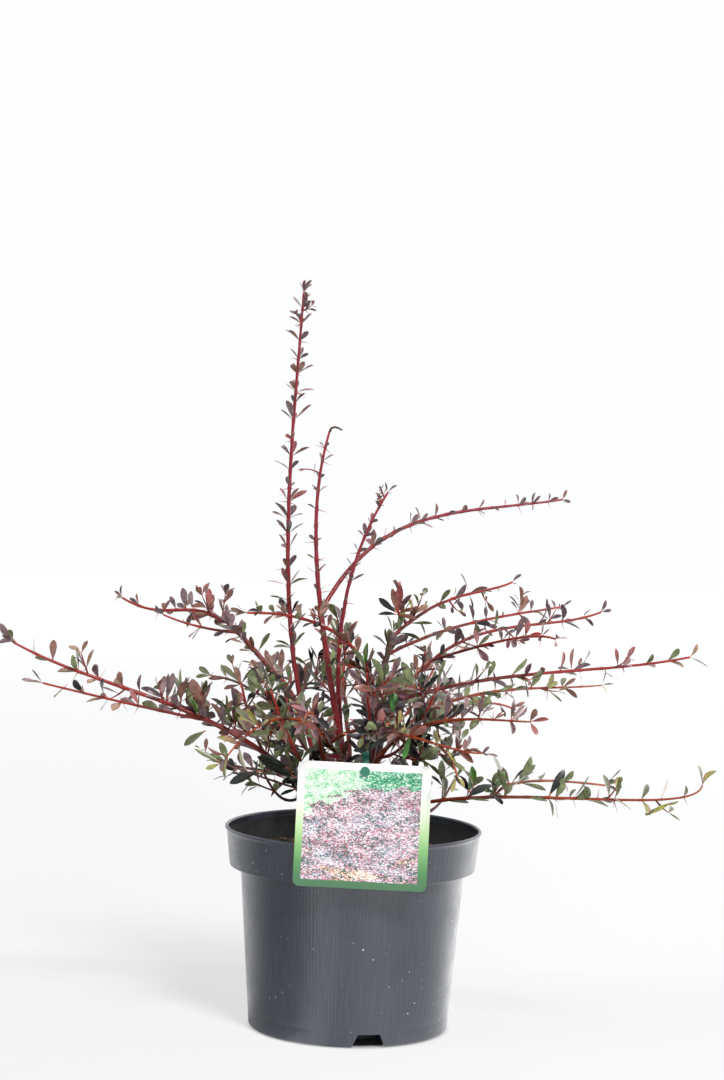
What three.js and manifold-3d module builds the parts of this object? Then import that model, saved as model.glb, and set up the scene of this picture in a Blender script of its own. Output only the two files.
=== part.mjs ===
// A Japanese barberry in its pot: a thorny garden shrub with small plum, bronze and olive
// leaves in rosettes along red arching shoots, in a dark moulded nursery pot, with a plain
// card hung on a shoot by a green strap. Millimetres, +Z up. The origin is the centre of
// the pot's flat underside, and the card's side faces -Y.

import * as THREE from 'three';
import { mergeVertices } from 'three/addons/utils/BufferGeometryUtils.js';
import Module from 'manifold-3d';

const wasm = await Module();
wasm.setup();

const GAP = 0.3;              // air between touching sub-parts
const SMOOTHING = 0.05;       // how far a join may shift a face to save small facets
const GRID = 0.01;            // corners are rounded to this, which closes up tiny edges

// Pot: thin moulded plastic, tapering, with a wide collar under the rim
const POT_HEIGHT = 148;
const POT_BASE_RADIUS = 74;
const POT_BODY_TOP_RADIUS = 82.8;
const COLLAR_FOOT_RADIUS = 91;
const COLLAR_TOP_RADIUS = 94;
const COLLAR_HEIGHT = 29;
const POT_WALL = 1.6;
const POT_FLOOR = 2;
const POT_CORNER = 3;
const LIP_RADIUS = 1.3;
const POT_SIDES = 36;

// Drains: three notches through the foot of the wall, roofed by channels in the floor
const DRAIN_COUNT = 3;
const DRAIN_TURN = THREE.MathUtils.degToRad(12);
const DRAIN_FOOT_WIDTH = 26;
const DRAIN_ROOF_WIDTH = 16;
const DRAIN_HEIGHT = 10;
const DRAIN_INNER_END = 46;

// Soil: mounded toward the middle, flat where the trunk stands
const SOIL_EDGE_HEIGHT = 126;
const SOIL_TOP = 136;
const SOIL_FLAT_RADIUS = 24;

// Trunk: one short woody foot that all the canes rise from
const TRUNK_CENTRE = new THREE.Vector3(-4, 0, 0);
const TRUNK_FLARE_RADIUS = 15;
const TRUNK_RADIUS = 10.5;
const TRUNK_TOP = 160;

// Card, leaning back against the front of the rim, with a punched hole for the strap
const CARD_WIDTH = 94;
const CARD_HEIGHT = 88;
const CARD_THICKNESS = 0.8;
const CARD_CORNER = 4.5;
const CARD_FOOT = 119;
const CARD_LEAN = THREE.MathUtils.degToRad(4);
const CARD_TURN = THREE.MathUtils.degToRad(1.2);    // clockwise in its plane, seen from -Y
const CARD_HOLE_RADIUS = 2.6;
const CARD_HOLE_DROP = 5.6;
const STRAP_X = 7;
const CARD_CENTRE_X = STRAP_X - (CARD_HEIGHT / 2 - CARD_HOLE_DROP) * Math.sin(CARD_TURN);
const STRAP_WIDTH = 5;
const STRAP_THICKNESS = 0.8;
const STRAP_LOW_RADIUS = 2;       // the loop's bends: behind the card, and over the shoot
const STRAP_HIGH_RADIUS = 4.6;
const PEG_RADIUS = 1.8;
const PEG_HEAD_RADIUS = 3.4;
const PEG_HEAD_THICKNESS = 0.9;
const PEG_SIDES = 12;
const CARD_CLEARANCE = 0.35;
const HANGING_GAP = 0.4;          // air that the plant keeps round the card and the strap

// Leaves and twigs
const LEAF_ASPECT = 0.46;
const LEAF_THICKNESS = 0.5;
const TWIG_FOOT_RADIUS = 0.7;
const TWIG_TIP_RADIUS = 0.6;
const NODE_SPACING = 12;
const GOLDEN_ANGLE = THREE.MathUtils.degToRad(137.5);

// Leaf colours, one for each mass
const TONES = {
  plum: 0x5f4550,
  bronze: 0x8a6455,
  rose: 0x98504e,
  olive: 0x5f6340,
  wine: 0x68323d,
};
const YOUNG_BARK = 0x9c2f30;
const OLD_BARK = 0x5f3b2c;

// Shoots. Each leaves the trunk at its foot, or an older shoot at a share of its length,
// passes two points and ends at its tip. Its first part, bare, is a limb, and the rest
// carries the leaves. thick is the radius at the foot, leaf the length of its largest
// leaves, red a limb with young red bark, and a fork a long side twig in the same mass.
const SHOOTS = [
  { name: 'tall_left', foot: [-9, 2, 154], via: [[-49, 18, 275], [-55, 28, 415]],
    tip: [-49, 32, 543], bare: 0.42, thick: 2.5, leaf: 14, tone: 'wine', red: true, seed: 11 },
  { name: 'centre_upright', foot: [-4, -3, 156], via: [[-19, -6, 250], [-33, -9, 347]],
    tip: [-26, -8, 440], bare: 0.6, thick: 2.9, leaf: 19, tone: 'bronze', red: true, seed: 12 },
  { name: 'right_upright', foot: [-1, 5, 156], via: [[-14, 10, 245], [-9, 1, 325]],
    tip: [18, 6, 396], bare: 0.52, thick: 2.3, leaf: 18, tone: 'plum', red: true, seed: 13 },
  { name: 'high_right', on: 'centre_upright', at: 0.53, via: [[20, 38, 363], [82, 70, 383]],
    tip: [154, 92, 393], bare: 0.24, thick: 1.8, leaf: 17, tone: 'wine', red: true, seed: 14 },
  { name: 'arching_over', foot: [2, -6, 155], via: [[14, -20, 240], [-14, -38, 292]],
    tip: [-80, -70, 309], bare: 0.42, thick: 2.2, leaf: 19, tone: 'rose', red: true, seed: 15 },
  { name: 'upper_left', on: 'tall_left', at: 0.2, via: [[-101, 45, 293], [-141, 69, 300]],
    tip: [-184, 88, 307], bare: 0.36, thick: 2.1, leaf: 21, tone: 'plum', seed: 16,
    forks: [{ at: 0.27, via: [-122, 43, 290], tip: [-148, 42, 298] }] },
  { name: 'long_left', foot: [-12, -2, 151], via: [[-90, -22, 217], [-171, -42, 251]],
    tip: [-248, -54, 282], bare: 0.37, thick: 2.3, leaf: 21, tone: 'bronze', seed: 17,
    forks: [{ at: 0.41, via: [-157, -56, 239], tip: [-222, -84, 256] }] },
  { name: 'front_left_arch', foot: [-7, -7, 152], via: [[-14, -38, 206], [-46, -84, 236]],
    tip: [-88, -127, 214], bare: 0.44, thick: 2.1, leaf: 20, tone: 'rose', red: true, seed: 18 },
  { name: 'low_left', foot: [-12, 5, 149], via: [[-42, 32, 177], [-82, 76, 179]],
    tip: [-118, 116, 185], bare: 0.3, thick: 1.9, leaf: 20, tone: 'plum', seed: 19 },
  { name: 'right_cane', foot: [1, 6, 156], via: [[7, 13, 200], [15, 20, 245]],
    tip: [25, 30, 290], bare: 1, thick: 2.6 },
  { name: 'right_high', on: 'right_cane', at: 0.97, via: [[60, 60, 311], [92, 88, 320]],
    tip: [118, 108, 327], bare: 0, thick: 1.4, leaf: 20, tone: 'rose', seed: 21,
    forks: [{ at: 0.1, via: [31, 34, 310], tip: [27, 32, 326] }] },
  { name: 'right_back', on: 'right_cane', at: 0.88, via: [[70, 68, 292], [118, 112, 301]],
    tip: [160, 150, 306], bare: 0, thick: 1.4, leaf: 20, tone: 'plum', seed: 22 },
  { name: 'low_cane', foot: [5, 1, 152], via: [[8, -3, 186], [16, -5, 222]],
    tip: [36, -4, 249], bare: 1, thick: 2.3 },
  { name: 'right_forked', on: 'low_cane', at: 0.98, via: [[80, 8, 289], [132, 16, 301]],
    tip: [180, 23, 311], bare: 0, thick: 1.4, leaf: 20, tone: 'wine', seed: 24,
    forks: [{ at: 0.16, via: [107, -74, 296], tip: [136, -112, 300] }] },
  { name: 'right_long', on: 'low_cane', at: 0.9, via: [[104, -6, 262], [174, -9, 271]],
    tip: [243, -12, 282], bare: 0, thick: 1.5, leaf: 21, tone: 'bronze', seed: 25 },
  { name: 'right_low', foot: [5, 4, 151], via: [[44, 12, 228], [118, 64, 247]],
    tip: [190, 101, 249], bare: 0.35, thick: 2, leaf: 20, tone: 'olive', seed: 26 },
  { name: 'front_right', foot: [3, -6, 150], via: [[27, -34, 216], [74, -84, 239]],
    tip: [119, -132, 244], bare: 0.34, thick: 2, leaf: 20, tone: 'plum', red: true, seed: 27 },
  { name: 'front_right_arch', on: 'front_left_arch', at: 0.4,
    via: [[14, -76, 229], [52, -108, 225]], tip: [86, -138, 222], bare: 0.4, thick: 1.6,
    leaf: 18, tone: 'rose', red: true, seed: 28,
    forks: [{ at: 0.72, via: [66, -118, 214], tip: [70, -124, 205] }] },
  { name: 'low_right', foot: [7, -2, 147], via: [[87, -42, 178], [191, -74, 184]],
    tip: [245, -88, 198], bare: 0.3, thick: 1.8, leaf: 20, tone: 'olive', seed: 29,
    forks: [{ at: 0.38, via: [124, -36, 190], tip: [182, -29, 188] }] },
  { name: 'back_left', foot: [-8, 7, 152], via: [[-36, 62, 213], [-62, 130, 246]],
    tip: [-86, 194, 250], bare: 0.34, thick: 2.1, leaf: 21, tone: 'bronze', seed: 30 },
  { name: 'back_centre', foot: [-3, 9, 154], via: [[-8, 66, 225], [-16, 144, 256]],
    tip: [-22, 216, 248], bare: 0.34, thick: 2.1, leaf: 21, tone: 'plum', seed: 31 },
  { name: 'back_right', foot: [2, 8, 150], via: [[22, 60, 213], [44, 132, 249]],
    tip: [64, 202, 255], bare: 0.34, thick: 2.1, leaf: 21, tone: 'wine', seed: 32 },
  { name: 'back_far_left', on: 'back_left', at: 0.3, via: [[-66, 92, 228], [-92, 118, 240]],
    tip: [-116, 136, 244], bare: 0, thick: 1.4, leaf: 20, tone: 'olive', seed: 33 },
  { name: 'back_far_right', on: 'back_right', at: 0.3, via: [[54, 92, 222], [92, 136, 228]],
    tip: [124, 172, 222], bare: 0, thick: 1.4, leaf: 20, tone: 'bronze', seed: 34 },
  { name: 'front_low', foot: [-8, -6, 149], via: [[-22, -46, 200], [-30, -98, 238]],
    tip: [-36, -150, 241], bare: 0.36, thick: 2, leaf: 20, tone: 'wine', red: true, seed: 35 },
];

// Inner tufts: short, leafy side shoots that fill the heart of the shrub. Each stands on an
// older shoot at a share of its length.
const TUFTS = [
  { name: 'inner_left', on: 'long_left', at: 0.2, tip: [-86, -4, 252], tone: 'plum', seed: 51 },
  { name: 'inner_front_left', on: 'front_low', at: 0.16, tip: [-62, -52, 252], tone: 'olive', seed: 52 },
  { name: 'inner_front', on: 'arching_over', at: 0.22, tip: [6, -66, 268], tone: 'plum', seed: 53 },
  { name: 'inner_front_right', on: 'front_right', at: 0.24, tip: [58, -46, 258], tone: 'olive', seed: 54 },
  { name: 'inner_right', on: 'right_low', at: 0.26, tip: [72, 36, 214], tone: 'bronze', seed: 55 },
  { name: 'inner_back_left', on: 'tall_left', at: 0.14, tip: [-58, 62, 250], tone: 'bronze', seed: 56 },
  { name: 'inner_back', on: 'right_upright', at: 0.3, tip: [-10, 72, 284], tone: 'olive', seed: 57 },
  { name: 'inner_back_right', on: 'right_cane', at: 0.42, tip: [58, 66, 262], tone: 'plum', seed: 58 },
  { name: 'inner_low_left', on: 'long_left', at: 0.1, tip: [-66, -46, 192], tone: 'olive', seed: 59 },
  { name: 'inner_low_right', on: 'low_right', at: 0.16, tip: [74, 8, 184], tone: 'olive', seed: 60 },
];
const TUFT_THICK = 1.3;
const TUFT_LEAF = 22;
const TUFT_BOW = 12;          // how far the middle of a tuft's stem lies below its chord
const TUFT_TWIGS = 3;
const TUFT_TWIG_LENGTH = 32;
const SPUR_SPACING = 80;      // one side twig to each such length of a shoot
const SPUR_LENGTH = 20;

const shrub = new THREE.Group();

// Numbers in 0 to 1 that are the same on every run
function seeded(seed) {
  let state = seed >>> 0;
  return () => {
    state = (state + 0x6d2b79f5) >>> 0;
    let mixed = Math.imul(state ^ (state >>> 15), 1 | state);
    mixed = (mixed + Math.imul(mixed ^ (mixed >>> 7), 61 | mixed)) ^ mixed;
    return ((mixed ^ (mixed >>> 14)) >>> 0) / 4294967296;
  };
}

function solidOf(geometry) {
  const bare = geometry.clone();
  bare.deleteAttribute('normal');
  bare.deleteAttribute('uv');
  const merged = mergeVertices(bare, 1e-4);
  return new wasm.Manifold(new wasm.Mesh({
    numProp: 3,
    vertProperties: new Float32Array(merged.attributes.position.array),
    triVerts: new Uint32Array(merged.index.array),
  }));
}

function geometryOf(solid) {
  const mesh = solid.getMesh();
  const rounded = Float32Array.from(mesh.vertProperties, (value) => Math.round(value / GRID) * GRID);
  const raw = new THREE.BufferGeometry();
  raw.setAttribute('position', new THREE.BufferAttribute(rounded, 3));
  raw.setIndex(new THREE.BufferAttribute(new Uint32Array(mesh.triVerts), 1));
  const geometry = mergeVertices(raw, GRID / 10);
  const corners = geometry.index.array;
  const kept = [];
  for (let i = 0; i < corners.length; i += 3) {
    const [a, b, c] = corners.slice(i, i + 3);
    if (a !== b && b !== c && c !== a) kept.push(a, b, c);
  }
  geometry.setIndex(kept);
  geometry.computeVertexNormals();
  return geometry;
}

// One closed body: loose scraps and sealed hollows left by a join or cut are dropped
function wholeBody(solid) {
  const bodies = solid.simplify(SMOOTHING).decompose();
  return bodies.reduce((largest, body) => (body.volume() > largest.volume() ? body : largest));
}

function addPart(name, solid, color, roughness) {
  const material = new THREE.MeshStandardMaterial({ color, roughness, metalness: 0 });
  const mesh = new THREE.Mesh(geometryOf(solid), material);
  mesh.name = name;
  shrub.add(mesh);
}

// A lathed body about the Z axis, from [radius, height] points that start and end on it
function turned(points, sides) {
  const profile = points.map(([radius, height]) => new THREE.Vector2(radius, height));
  const geometry = new THREE.LatheGeometry(profile, sides);
  geometry.rotateX(Math.PI / 2);
  return solidOf(geometry);
}

// A rod that tapers along a curve, closed at both ends
function rodAlong(curve, footRadius, tipRadius, sides, steps) {
  const rod = new THREE.CylinderGeometry(tipRadius, footRadius, 1, sides, steps);
  const frames = curve.computeFrenetFrames(steps, false);
  const position = rod.attributes.position;
  const vertex = new THREE.Vector3();
  for (let i = 0; i < position.count; i += 1) {
    const step = Math.round((position.getY(i) + 0.5) * steps);
    vertex.copy(curve.getPointAt(step / steps));
    vertex.addScaledVector(frames.binormals[step], position.getX(i));
    vertex.addScaledVector(frames.normals[step], position.getZ(i));
    position.setXYZ(i, vertex.x, vertex.y, vertex.z);
  }
  return solidOf(rod);
}

// Pot
const collarFoot = POT_HEIGHT - COLLAR_HEIGHT;

function wallRadius(height) {
  const share = (height - POT_CORNER) / (collarFoot - POT_CORNER);
  return POT_BASE_RADIUS + share * (POT_BODY_TOP_RADIUS - POT_BASE_RADIUS);
}

function potShell() {
  const cornerSteps = 2;
  const outside = [[0, 0]];
  for (let i = 0; i <= cornerSteps; i += 1) {
    const angle = (i / cornerSteps) * (Math.PI / 2);
    outside.push([
      POT_BASE_RADIUS - POT_CORNER * (1 - Math.sin(angle)),
      POT_CORNER * (1 - Math.cos(angle)),
    ]);
  }
  outside.push([POT_BODY_TOP_RADIUS, collarFoot]);
  outside.push([COLLAR_FOOT_RADIUS, collarFoot]);
  const lipSteps = 3;
  const lip = [];
  for (let i = 0; i <= lipSteps; i += 1) {
    const angle = (i / lipSteps) * Math.PI;
    lip.push([
      COLLAR_TOP_RADIUS - LIP_RADIUS + 1 + LIP_RADIUS * Math.cos(angle),
      POT_HEIGHT - LIP_RADIUS + LIP_RADIUS * Math.sin(angle),
    ]);
  }
  const inside = [
    [COLLAR_FOOT_RADIUS - POT_WALL, collarFoot + POT_WALL],
    [POT_BODY_TOP_RADIUS - POT_WALL, collarFoot + POT_WALL],
    [wallRadius(POT_FLOOR) - POT_WALL - 1, POT_FLOOR],
    [0, POT_FLOOR],
  ];
  return turned([...outside, [COLLAR_TOP_RADIUS, POT_HEIGHT - 3 * LIP_RADIUS], ...lip, ...inside], POT_SIDES);
}

// A drain's shape, a wedge with a narrower roof that runs inward from outside the wall
function drainWedge(outset, inner, outer) {
  const foot = DRAIN_FOOT_WIDTH / 2 + outset;
  const roof = DRAIN_ROOF_WIDTH / 2 + outset;
  const outline = new THREE.Shape([
    new THREE.Vector2(-foot, -1),
    new THREE.Vector2(foot, -1),
    new THREE.Vector2(roof, DRAIN_HEIGHT + outset),
    new THREE.Vector2(-roof, DRAIN_HEIGHT + outset),
  ]);
  const geometry = new THREE.ExtrudeGeometry(outline, { depth: outer - inner, bevelEnabled: false });
  geometry.rotateX(Math.PI / 2);
  geometry.translate(0, -inner, 0);
  return geometry;
}

function aroundPot(makeGeometry) {
  const copies = [];
  for (let i = 0; i < DRAIN_COUNT; i += 1) {
    const geometry = makeGeometry();
    geometry.rotateZ(DRAIN_TURN + (i / DRAIN_COUNT) * 2 * Math.PI);
    copies.push(solidOf(geometry));
  }
  return wasm.Manifold.union(copies);
}

const drainRoofs = aroundPot(() => drainWedge(POT_WALL, DRAIN_INNER_END - POT_WALL, POT_BASE_RADIUS + 4));
const drainHoles = aroundPot(() => drainWedge(0, DRAIN_INNER_END, POT_BASE_RADIUS + 8));
const insideWall = turned([
  [0, POT_FLOOR / 2],
  [POT_BASE_RADIUS - POT_CORNER, POT_FLOOR / 2],
  [wallRadius(30) - POT_WALL / 2, 30],
  [0, 30],
], POT_SIDES);
const pot = wholeBody(potShell().add(drainRoofs.intersect(insideWall)).subtract(drainHoles));
addPart('pot', pot, 0x2f353b, 0.55);

// Soil, filling the pot, with the drain roofs and the wall kept clear
const soilFill = turned([
  [0, POT_FLOOR + GAP],
  [wallRadius(POT_FLOOR) - POT_WALL - 1.6, POT_FLOOR + GAP],
  [POT_BODY_TOP_RADIUS - POT_WALL - 2 * GAP, collarFoot + POT_WALL - GAP],
  [POT_BODY_TOP_RADIUS - POT_WALL - 2 * GAP, collarFoot + POT_WALL + GAP],
  [COLLAR_FOOT_RADIUS - POT_WALL - 2 * GAP, collarFoot + POT_WALL + GAP],
  [COLLAR_FOOT_RADIUS - POT_WALL - GAP, SOIL_EDGE_HEIGHT],
  [72, SOIL_EDGE_HEIGHT + 1.5],
  [50, SOIL_TOP - 3],
  [SOIL_FLAT_RADIUS, SOIL_TOP],
  [0, SOIL_TOP],
], 24);
const drainClearance = aroundPot(
  () => drainWedge(POT_WALL + GAP, DRAIN_INNER_END - POT_WALL - GAP, POT_BASE_RADIUS + 8),
);
addPart('soil', wholeBody(soilFill.subtract(drainClearance)), 0x2b211b, 0.95);

// Trunk, from its flat cut on the soil to the knuckle that the canes leave
const trunkProfile = (outset) => [
  [0, SOIL_TOP + GAP - outset],
  [TRUNK_FLARE_RADIUS + outset, SOIL_TOP + GAP - outset],
  [TRUNK_RADIUS + 1.6 + outset, SOIL_TOP + 4],
  [TRUNK_RADIUS + outset, SOIL_TOP + 11],
  [TRUNK_RADIUS - 1 + outset, TRUNK_TOP - 4],
  [TRUNK_RADIUS - 4 + outset, TRUNK_TOP + outset],
  [0, TRUNK_TOP + outset],
];
const trunk = turned(trunkProfile(0), 10).translate(TRUNK_CENTRE.toArray());
const trunkClearance = turned(trunkProfile(GAP), 10).translate(TRUNK_CENTRE.toArray());
addPart('trunk', trunk, OLD_BARK, 0.9);

// Routes of the shoots: a cubic curve that passes its two points at a third and two thirds
function curveThrough(start, first, second, end) {
  const handle = (a, b, c, d) => new THREE.Vector3()
    .addScaledVector(a, -5 / 6)
    .addScaledVector(b, 3)
    .addScaledVector(c, -1.5)
    .addScaledVector(d, 1 / 3);
  return new THREE.CubicBezierCurve3(
    start,
    handle(start, first, second, end),
    handle(end, second, first, start),
    end,
  );
}

// The stretch of a curve between two shares of it
function stretchOf(curve, from, to) {
  const points = [];
  for (let i = 0; i <= 8; i += 1) points.push(curve.getPoint(THREE.MathUtils.lerp(from, to, i / 8)));
  return new THREE.CatmullRomCurve3(points);
}

const vector = (xyz) => new THREE.Vector3(...xyz);
const routes = {};
for (const shoot of SHOOTS) {
  const foot = shoot.foot ? vector(shoot.foot) : routes[shoot.on].getPoint(shoot.at);
  routes[shoot.name] = curveThrough(foot, vector(shoot.via[0]), vector(shoot.via[1]), vector(shoot.tip));
}
for (const tuft of TUFTS) {
  const foot = routes[tuft.on].getPoint(tuft.at);
  const tip = vector(tuft.tip);
  const first = foot.clone().lerp(tip, 1 / 3);
  const second = foot.clone().lerp(tip, 2 / 3);
  first.z -= TUFT_BOW;
  second.z -= TUFT_BOW;
  routes[tuft.name] = curveThrough(foot, first, second, tip);
}

// What a new piece must keep clear of: each standing piece, made larger all round by the gap
const standing = [];

function boxesMeet(a, b) {
  for (let axis = 0; axis < 3; axis += 1) {
    if (a.max[axis] < b.min[axis] || b.max[axis] < a.min[axis]) return false;
  }
  return true;
}

function stand(owner, clearance) {
  standing.push({ owner, clearance, box: clearance.boundingBox() });
}

function touches(owner, piece) {
  const box = piece.boundingBox();
  return standing.some((other) => other.owner !== owner
    && boxesMeet(box, other.box)
    && !piece.intersect(other.clearance).isEmpty());
}

// A piece less what stands near it, which opens the gap at its foot
function cutClear(owner, piece) {
  let cut = piece;
  for (const other of standing) {
    if (other.owner !== owner && boxesMeet(cut.boundingBox(), other.box)) cut = cut.subtract(other.clearance);
  }
  return wholeBody(cut);
}

stand('pot', potShell());
stand('trunk', trunkClearance);

// Card and strap. The card lies on the rim's front. The strap's loop hangs over the limb of
// the front arch, behind the card, and a peg with a round head joins it to the card's hole.
const cardPivot = new THREE.Vector3(
  CARD_CENTRE_X,
  -(COLLAR_TOP_RADIUS + 1 + GAP + CARD_THICKNESS),
  POT_HEIGHT,
);

function cardGeometry(outset) {
  const halfWidth = CARD_WIDTH / 2 + outset;
  const top = CARD_HEIGHT / 2 + outset;
  const foot = -top;
  const outline = new THREE.Shape();
  outline.moveTo(-halfWidth + CARD_CORNER, foot);
  outline.lineTo(halfWidth - CARD_CORNER, foot);
  outline.absarc(halfWidth - CARD_CORNER, foot + CARD_CORNER, CARD_CORNER, -Math.PI / 2, 0);
  outline.absarc(halfWidth - CARD_CORNER, top - CARD_CORNER, CARD_CORNER, 0, Math.PI / 2);
  outline.absarc(-halfWidth + CARD_CORNER, top - CARD_CORNER, CARD_CORNER, Math.PI / 2, Math.PI);
  outline.absarc(-halfWidth + CARD_CORNER, foot + CARD_CORNER, CARD_CORNER, Math.PI, 1.5 * Math.PI);
  if (outset === 0) {
    const hole = new THREE.Path();
    hole.absarc(0, top - CARD_HOLE_DROP, CARD_HOLE_RADIUS, 0, 2 * Math.PI, true);
    outline.holes.push(hole);
  }
  const depth = CARD_THICKNESS + 2 * outset;
  const geometry = new THREE.ExtrudeGeometry(outline, { depth, bevelEnabled: false, curveSegments: 4 });
  geometry.rotateZ(-CARD_TURN);
  geometry.translate(0, CARD_FOOT - POT_HEIGHT + CARD_HEIGHT / 2, -outset);
  geometry.rotateX(Math.PI / 2 - CARD_LEAN);
  geometry.translate(cardPivot.x, cardPivot.y + CARD_THICKNESS, cardPivot.z);
  return geometry;
}

addPart('card', solidOf(cardGeometry(0)), 0xe9ede4, 0.45);
stand('card', solidOf(cardGeometry(HANGING_GAP)));

const holeAboveRim = CARD_FOOT - POT_HEIGHT + CARD_HEIGHT - CARD_HOLE_DROP;
const archRoute = routes.front_right_arch;

function routePointAtX(route, x) {
  let share = 0;
  while (route.getPoint(share).x < x) share += 0.002;
  return route.getPoint(share);
}

// An outline of two round ends joined by straight sides, in the strap's own plane
function loopOutline(length, lowRadius, highRadius) {
  const slope = Math.asin((highRadius - lowRadius) / length);
  const points = [];
  const ends = [
    { centre: 0, radius: lowRadius, from: Math.PI - slope, to: 2 * Math.PI + slope },
    { centre: length, radius: highRadius, from: slope, to: Math.PI - slope },
  ];
  for (const end of ends) {
    for (let i = 0; i <= 8; i += 1) {
      const angle = end.from + (i / 8) * (end.to - end.from);
      points.push(new THREE.Vector2(end.radius * Math.cos(angle), end.centre + end.radius * Math.sin(angle)));
    }
  }
  return points;
}

// The strap: the peg stands in the middle of the card's hole, square to the card, and the
// loop leans back from the peg's inner end to the limb
function strapSolid(outset) {
  const hole = new THREE.Vector2(
    cardPivot.y + CARD_THICKNESS / 2 + holeAboveRim * Math.sin(CARD_LEAN),
    POT_HEIGHT + holeAboveRim * Math.cos(CARD_LEAN),
  );
  const half = STRAP_THICKNESS / 2;
  const behind = CARD_THICKNESS / 2 + CARD_CLEARANCE + half + STRAP_LOW_RADIUS + half;
  const low = new THREE.Vector2(hole.x + behind, hole.y);
  const limb = routePointAtX(archRoute, STRAP_X);
  const high = new THREE.Vector2(limb.y, limb.z);
  const length = high.distanceTo(low);
  const outline = new THREE.Shape(
    loopOutline(length, STRAP_LOW_RADIUS + half + outset, STRAP_HIGH_RADIUS + half + outset),
  );
  if (outset === 0) {
    outline.holes.push(new THREE.Path(
      loopOutline(length, STRAP_LOW_RADIUS - half, STRAP_HIGH_RADIUS - half),
    ));
  }
  const depth = STRAP_WIDTH + 2 * outset;
  const loop = new THREE.ExtrudeGeometry(outline, { depth, bevelEnabled: false });
  const tilt = Math.atan2(high.x - low.x, high.y - low.y);
  loop.translate(0, 0, -depth / 2);
  loop.rotateX(Math.PI / 2);
  loop.rotateZ(Math.PI / 2);
  loop.rotateX(-tilt);
  loop.translate(STRAP_X, low.x, low.y);
  const headBack = -CARD_THICKNESS / 2 - CARD_CLEARANCE;
  const headFront = headBack - PEG_HEAD_THICKNESS - outset;
  const peg = [
    [0, headFront],
    [PEG_HEAD_RADIUS + outset, headFront],
    [PEG_HEAD_RADIUS + outset, headBack + outset],
    [PEG_RADIUS + outset, headBack + outset],
    [PEG_RADIUS + outset, behind - STRAP_LOW_RADIUS],
    [0, behind - STRAP_LOW_RADIUS],
  ];
  const upright = turned(peg, PEG_SIDES).rotate([-90 - THREE.MathUtils.radToDeg(CARD_LEAN), 0, 0]);
  return solidOf(loop).add(upright.translate([STRAP_X, hole.x, hole.y]));
}

addPart('strap', wholeBody(strapSolid(0)), 0x2f8f78, 0.5);

// Limbs, the bare lower part of each shoot
const LIMB_SIDES = 5;
const LIMB_STEPS = 6;
const TIP_RADIUS = 0.9;

function shootRadius(shoot, share) {
  return THREE.MathUtils.lerp(shoot.thick, shoot.bare === 1 ? shoot.thick * 0.8 : TIP_RADIUS, share);
}

for (const shoot of SHOOTS.filter((entry) => entry.bare > 0)) {
  const route = stretchOf(routes[shoot.name], 0, shoot.bare);
  const ends = [shootRadius(shoot, 0), shootRadius(shoot, shoot.bare)];
  const limb = cutClear(shoot.name, rodAlong(route, ends[0], ends[1], LIMB_SIDES, LIMB_STEPS));
  addPart(`limb_${shoot.name}`, limb, shoot.red ? YOUNG_BARK : OLD_BARK, 0.7);
  stand(`limb_${shoot.name}`, rodAlong(route, ends[0] + GAP, ends[1] + GAP, LIMB_SIDES, LIMB_STEPS));
}
stand('strap', strapSolid(HANGING_GAP));

// Stems of the masses, which start the gap beyond a limb's tip or stand on an older shoot
const masses = [];

function addStem(name, route, share, footRadius, details) {
  const speed = route.getPoint(share + 0.01).distanceTo(route.getPoint(share)) / 0.01;
  const start = share > 0 ? share + GAP / speed : 0;
  const stem = stretchOf(route, start, 1);
  const steps = Math.max(5, Math.round(stem.getLength() / 26));
  const solid = cutClear(name, rodAlong(stem, footRadius, TIP_RADIUS, 3, steps));
  masses.push({ name, stem, footRadius, pieces: [solid], ...details });
  stand(name, rodAlong(stem, footRadius + 1.5 * GAP, TIP_RADIUS + 1.5 * GAP, 3, steps));
}

for (const shoot of SHOOTS.filter((entry) => entry.bare < 1)) {
  const footRadius = shootRadius(shoot, shoot.bare) * 1.1;
  addStem(shoot.name, routes[shoot.name], shoot.bare, footRadius, {
    ...shoot,
    twigs: Math.round((routes[shoot.name].getLength() * (1 - shoot.bare)) / SPUR_SPACING),
    twigLength: SPUR_LENGTH,
  });
}
for (const tuft of TUFTS) {
  addStem(tuft.name, routes[tuft.name], 0, TUFT_THICK, {
    ...tuft, leaf: TUFT_LEAF, twigs: TUFT_TWIGS, twigLength: TUFT_TWIG_LENGTH,
  });
}

// A leaf: a wedge that is deep and narrow at its root and widens to a thin broad end, as
// the real leaf is widest near its tip. Its upper face looks along up.
function leafSolid(root, along, up, length, outset) {
  const leaf = new THREE.TetrahedronGeometry(1);
  leaf.rotateZ(-Math.PI / 4);
  const position = leaf.attributes.position;
  const halfWidth = (LEAF_ASPECT * length) / 2 + outset;
  const halfDepth = LEAF_THICKNESS / 2 + outset;
  for (let i = 0; i < position.count; i += 1) {
    const broadEnd = position.getZ(i) > 0;
    position.setXYZ(
      i,
      broadEnd ? Math.sign(position.getX(i)) * halfWidth : 0,
      broadEnd ? 0 : Math.sign(position.getY(i)) * halfDepth,
      broadEnd ? length + outset : -outset,
    );
  }
  const side = new THREE.Vector3().crossVectors(up, along).normalize();
  const face = new THREE.Vector3().crossVectors(along, side).normalize();
  leaf.applyMatrix4(new THREE.Matrix4().makeBasis(side, face, along).setPosition(root));
  return solidOf(leaf);
}

// A direction that leans away from a stem, turned about it by an angle
function leaning(tangent, turn, lean) {
  const reference = Math.abs(tangent.z) < 0.9 ? new THREE.Vector3(0, 0, 1) : new THREE.Vector3(1, 0, 0);
  const outward = reference.addScaledVector(tangent, -reference.dot(tangent)).normalize();
  outward.applyAxisAngle(tangent, turn);
  return outward.multiplyScalar(Math.sin(lean)).addScaledVector(tangent, Math.cos(lean)).normalize();
}

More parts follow.
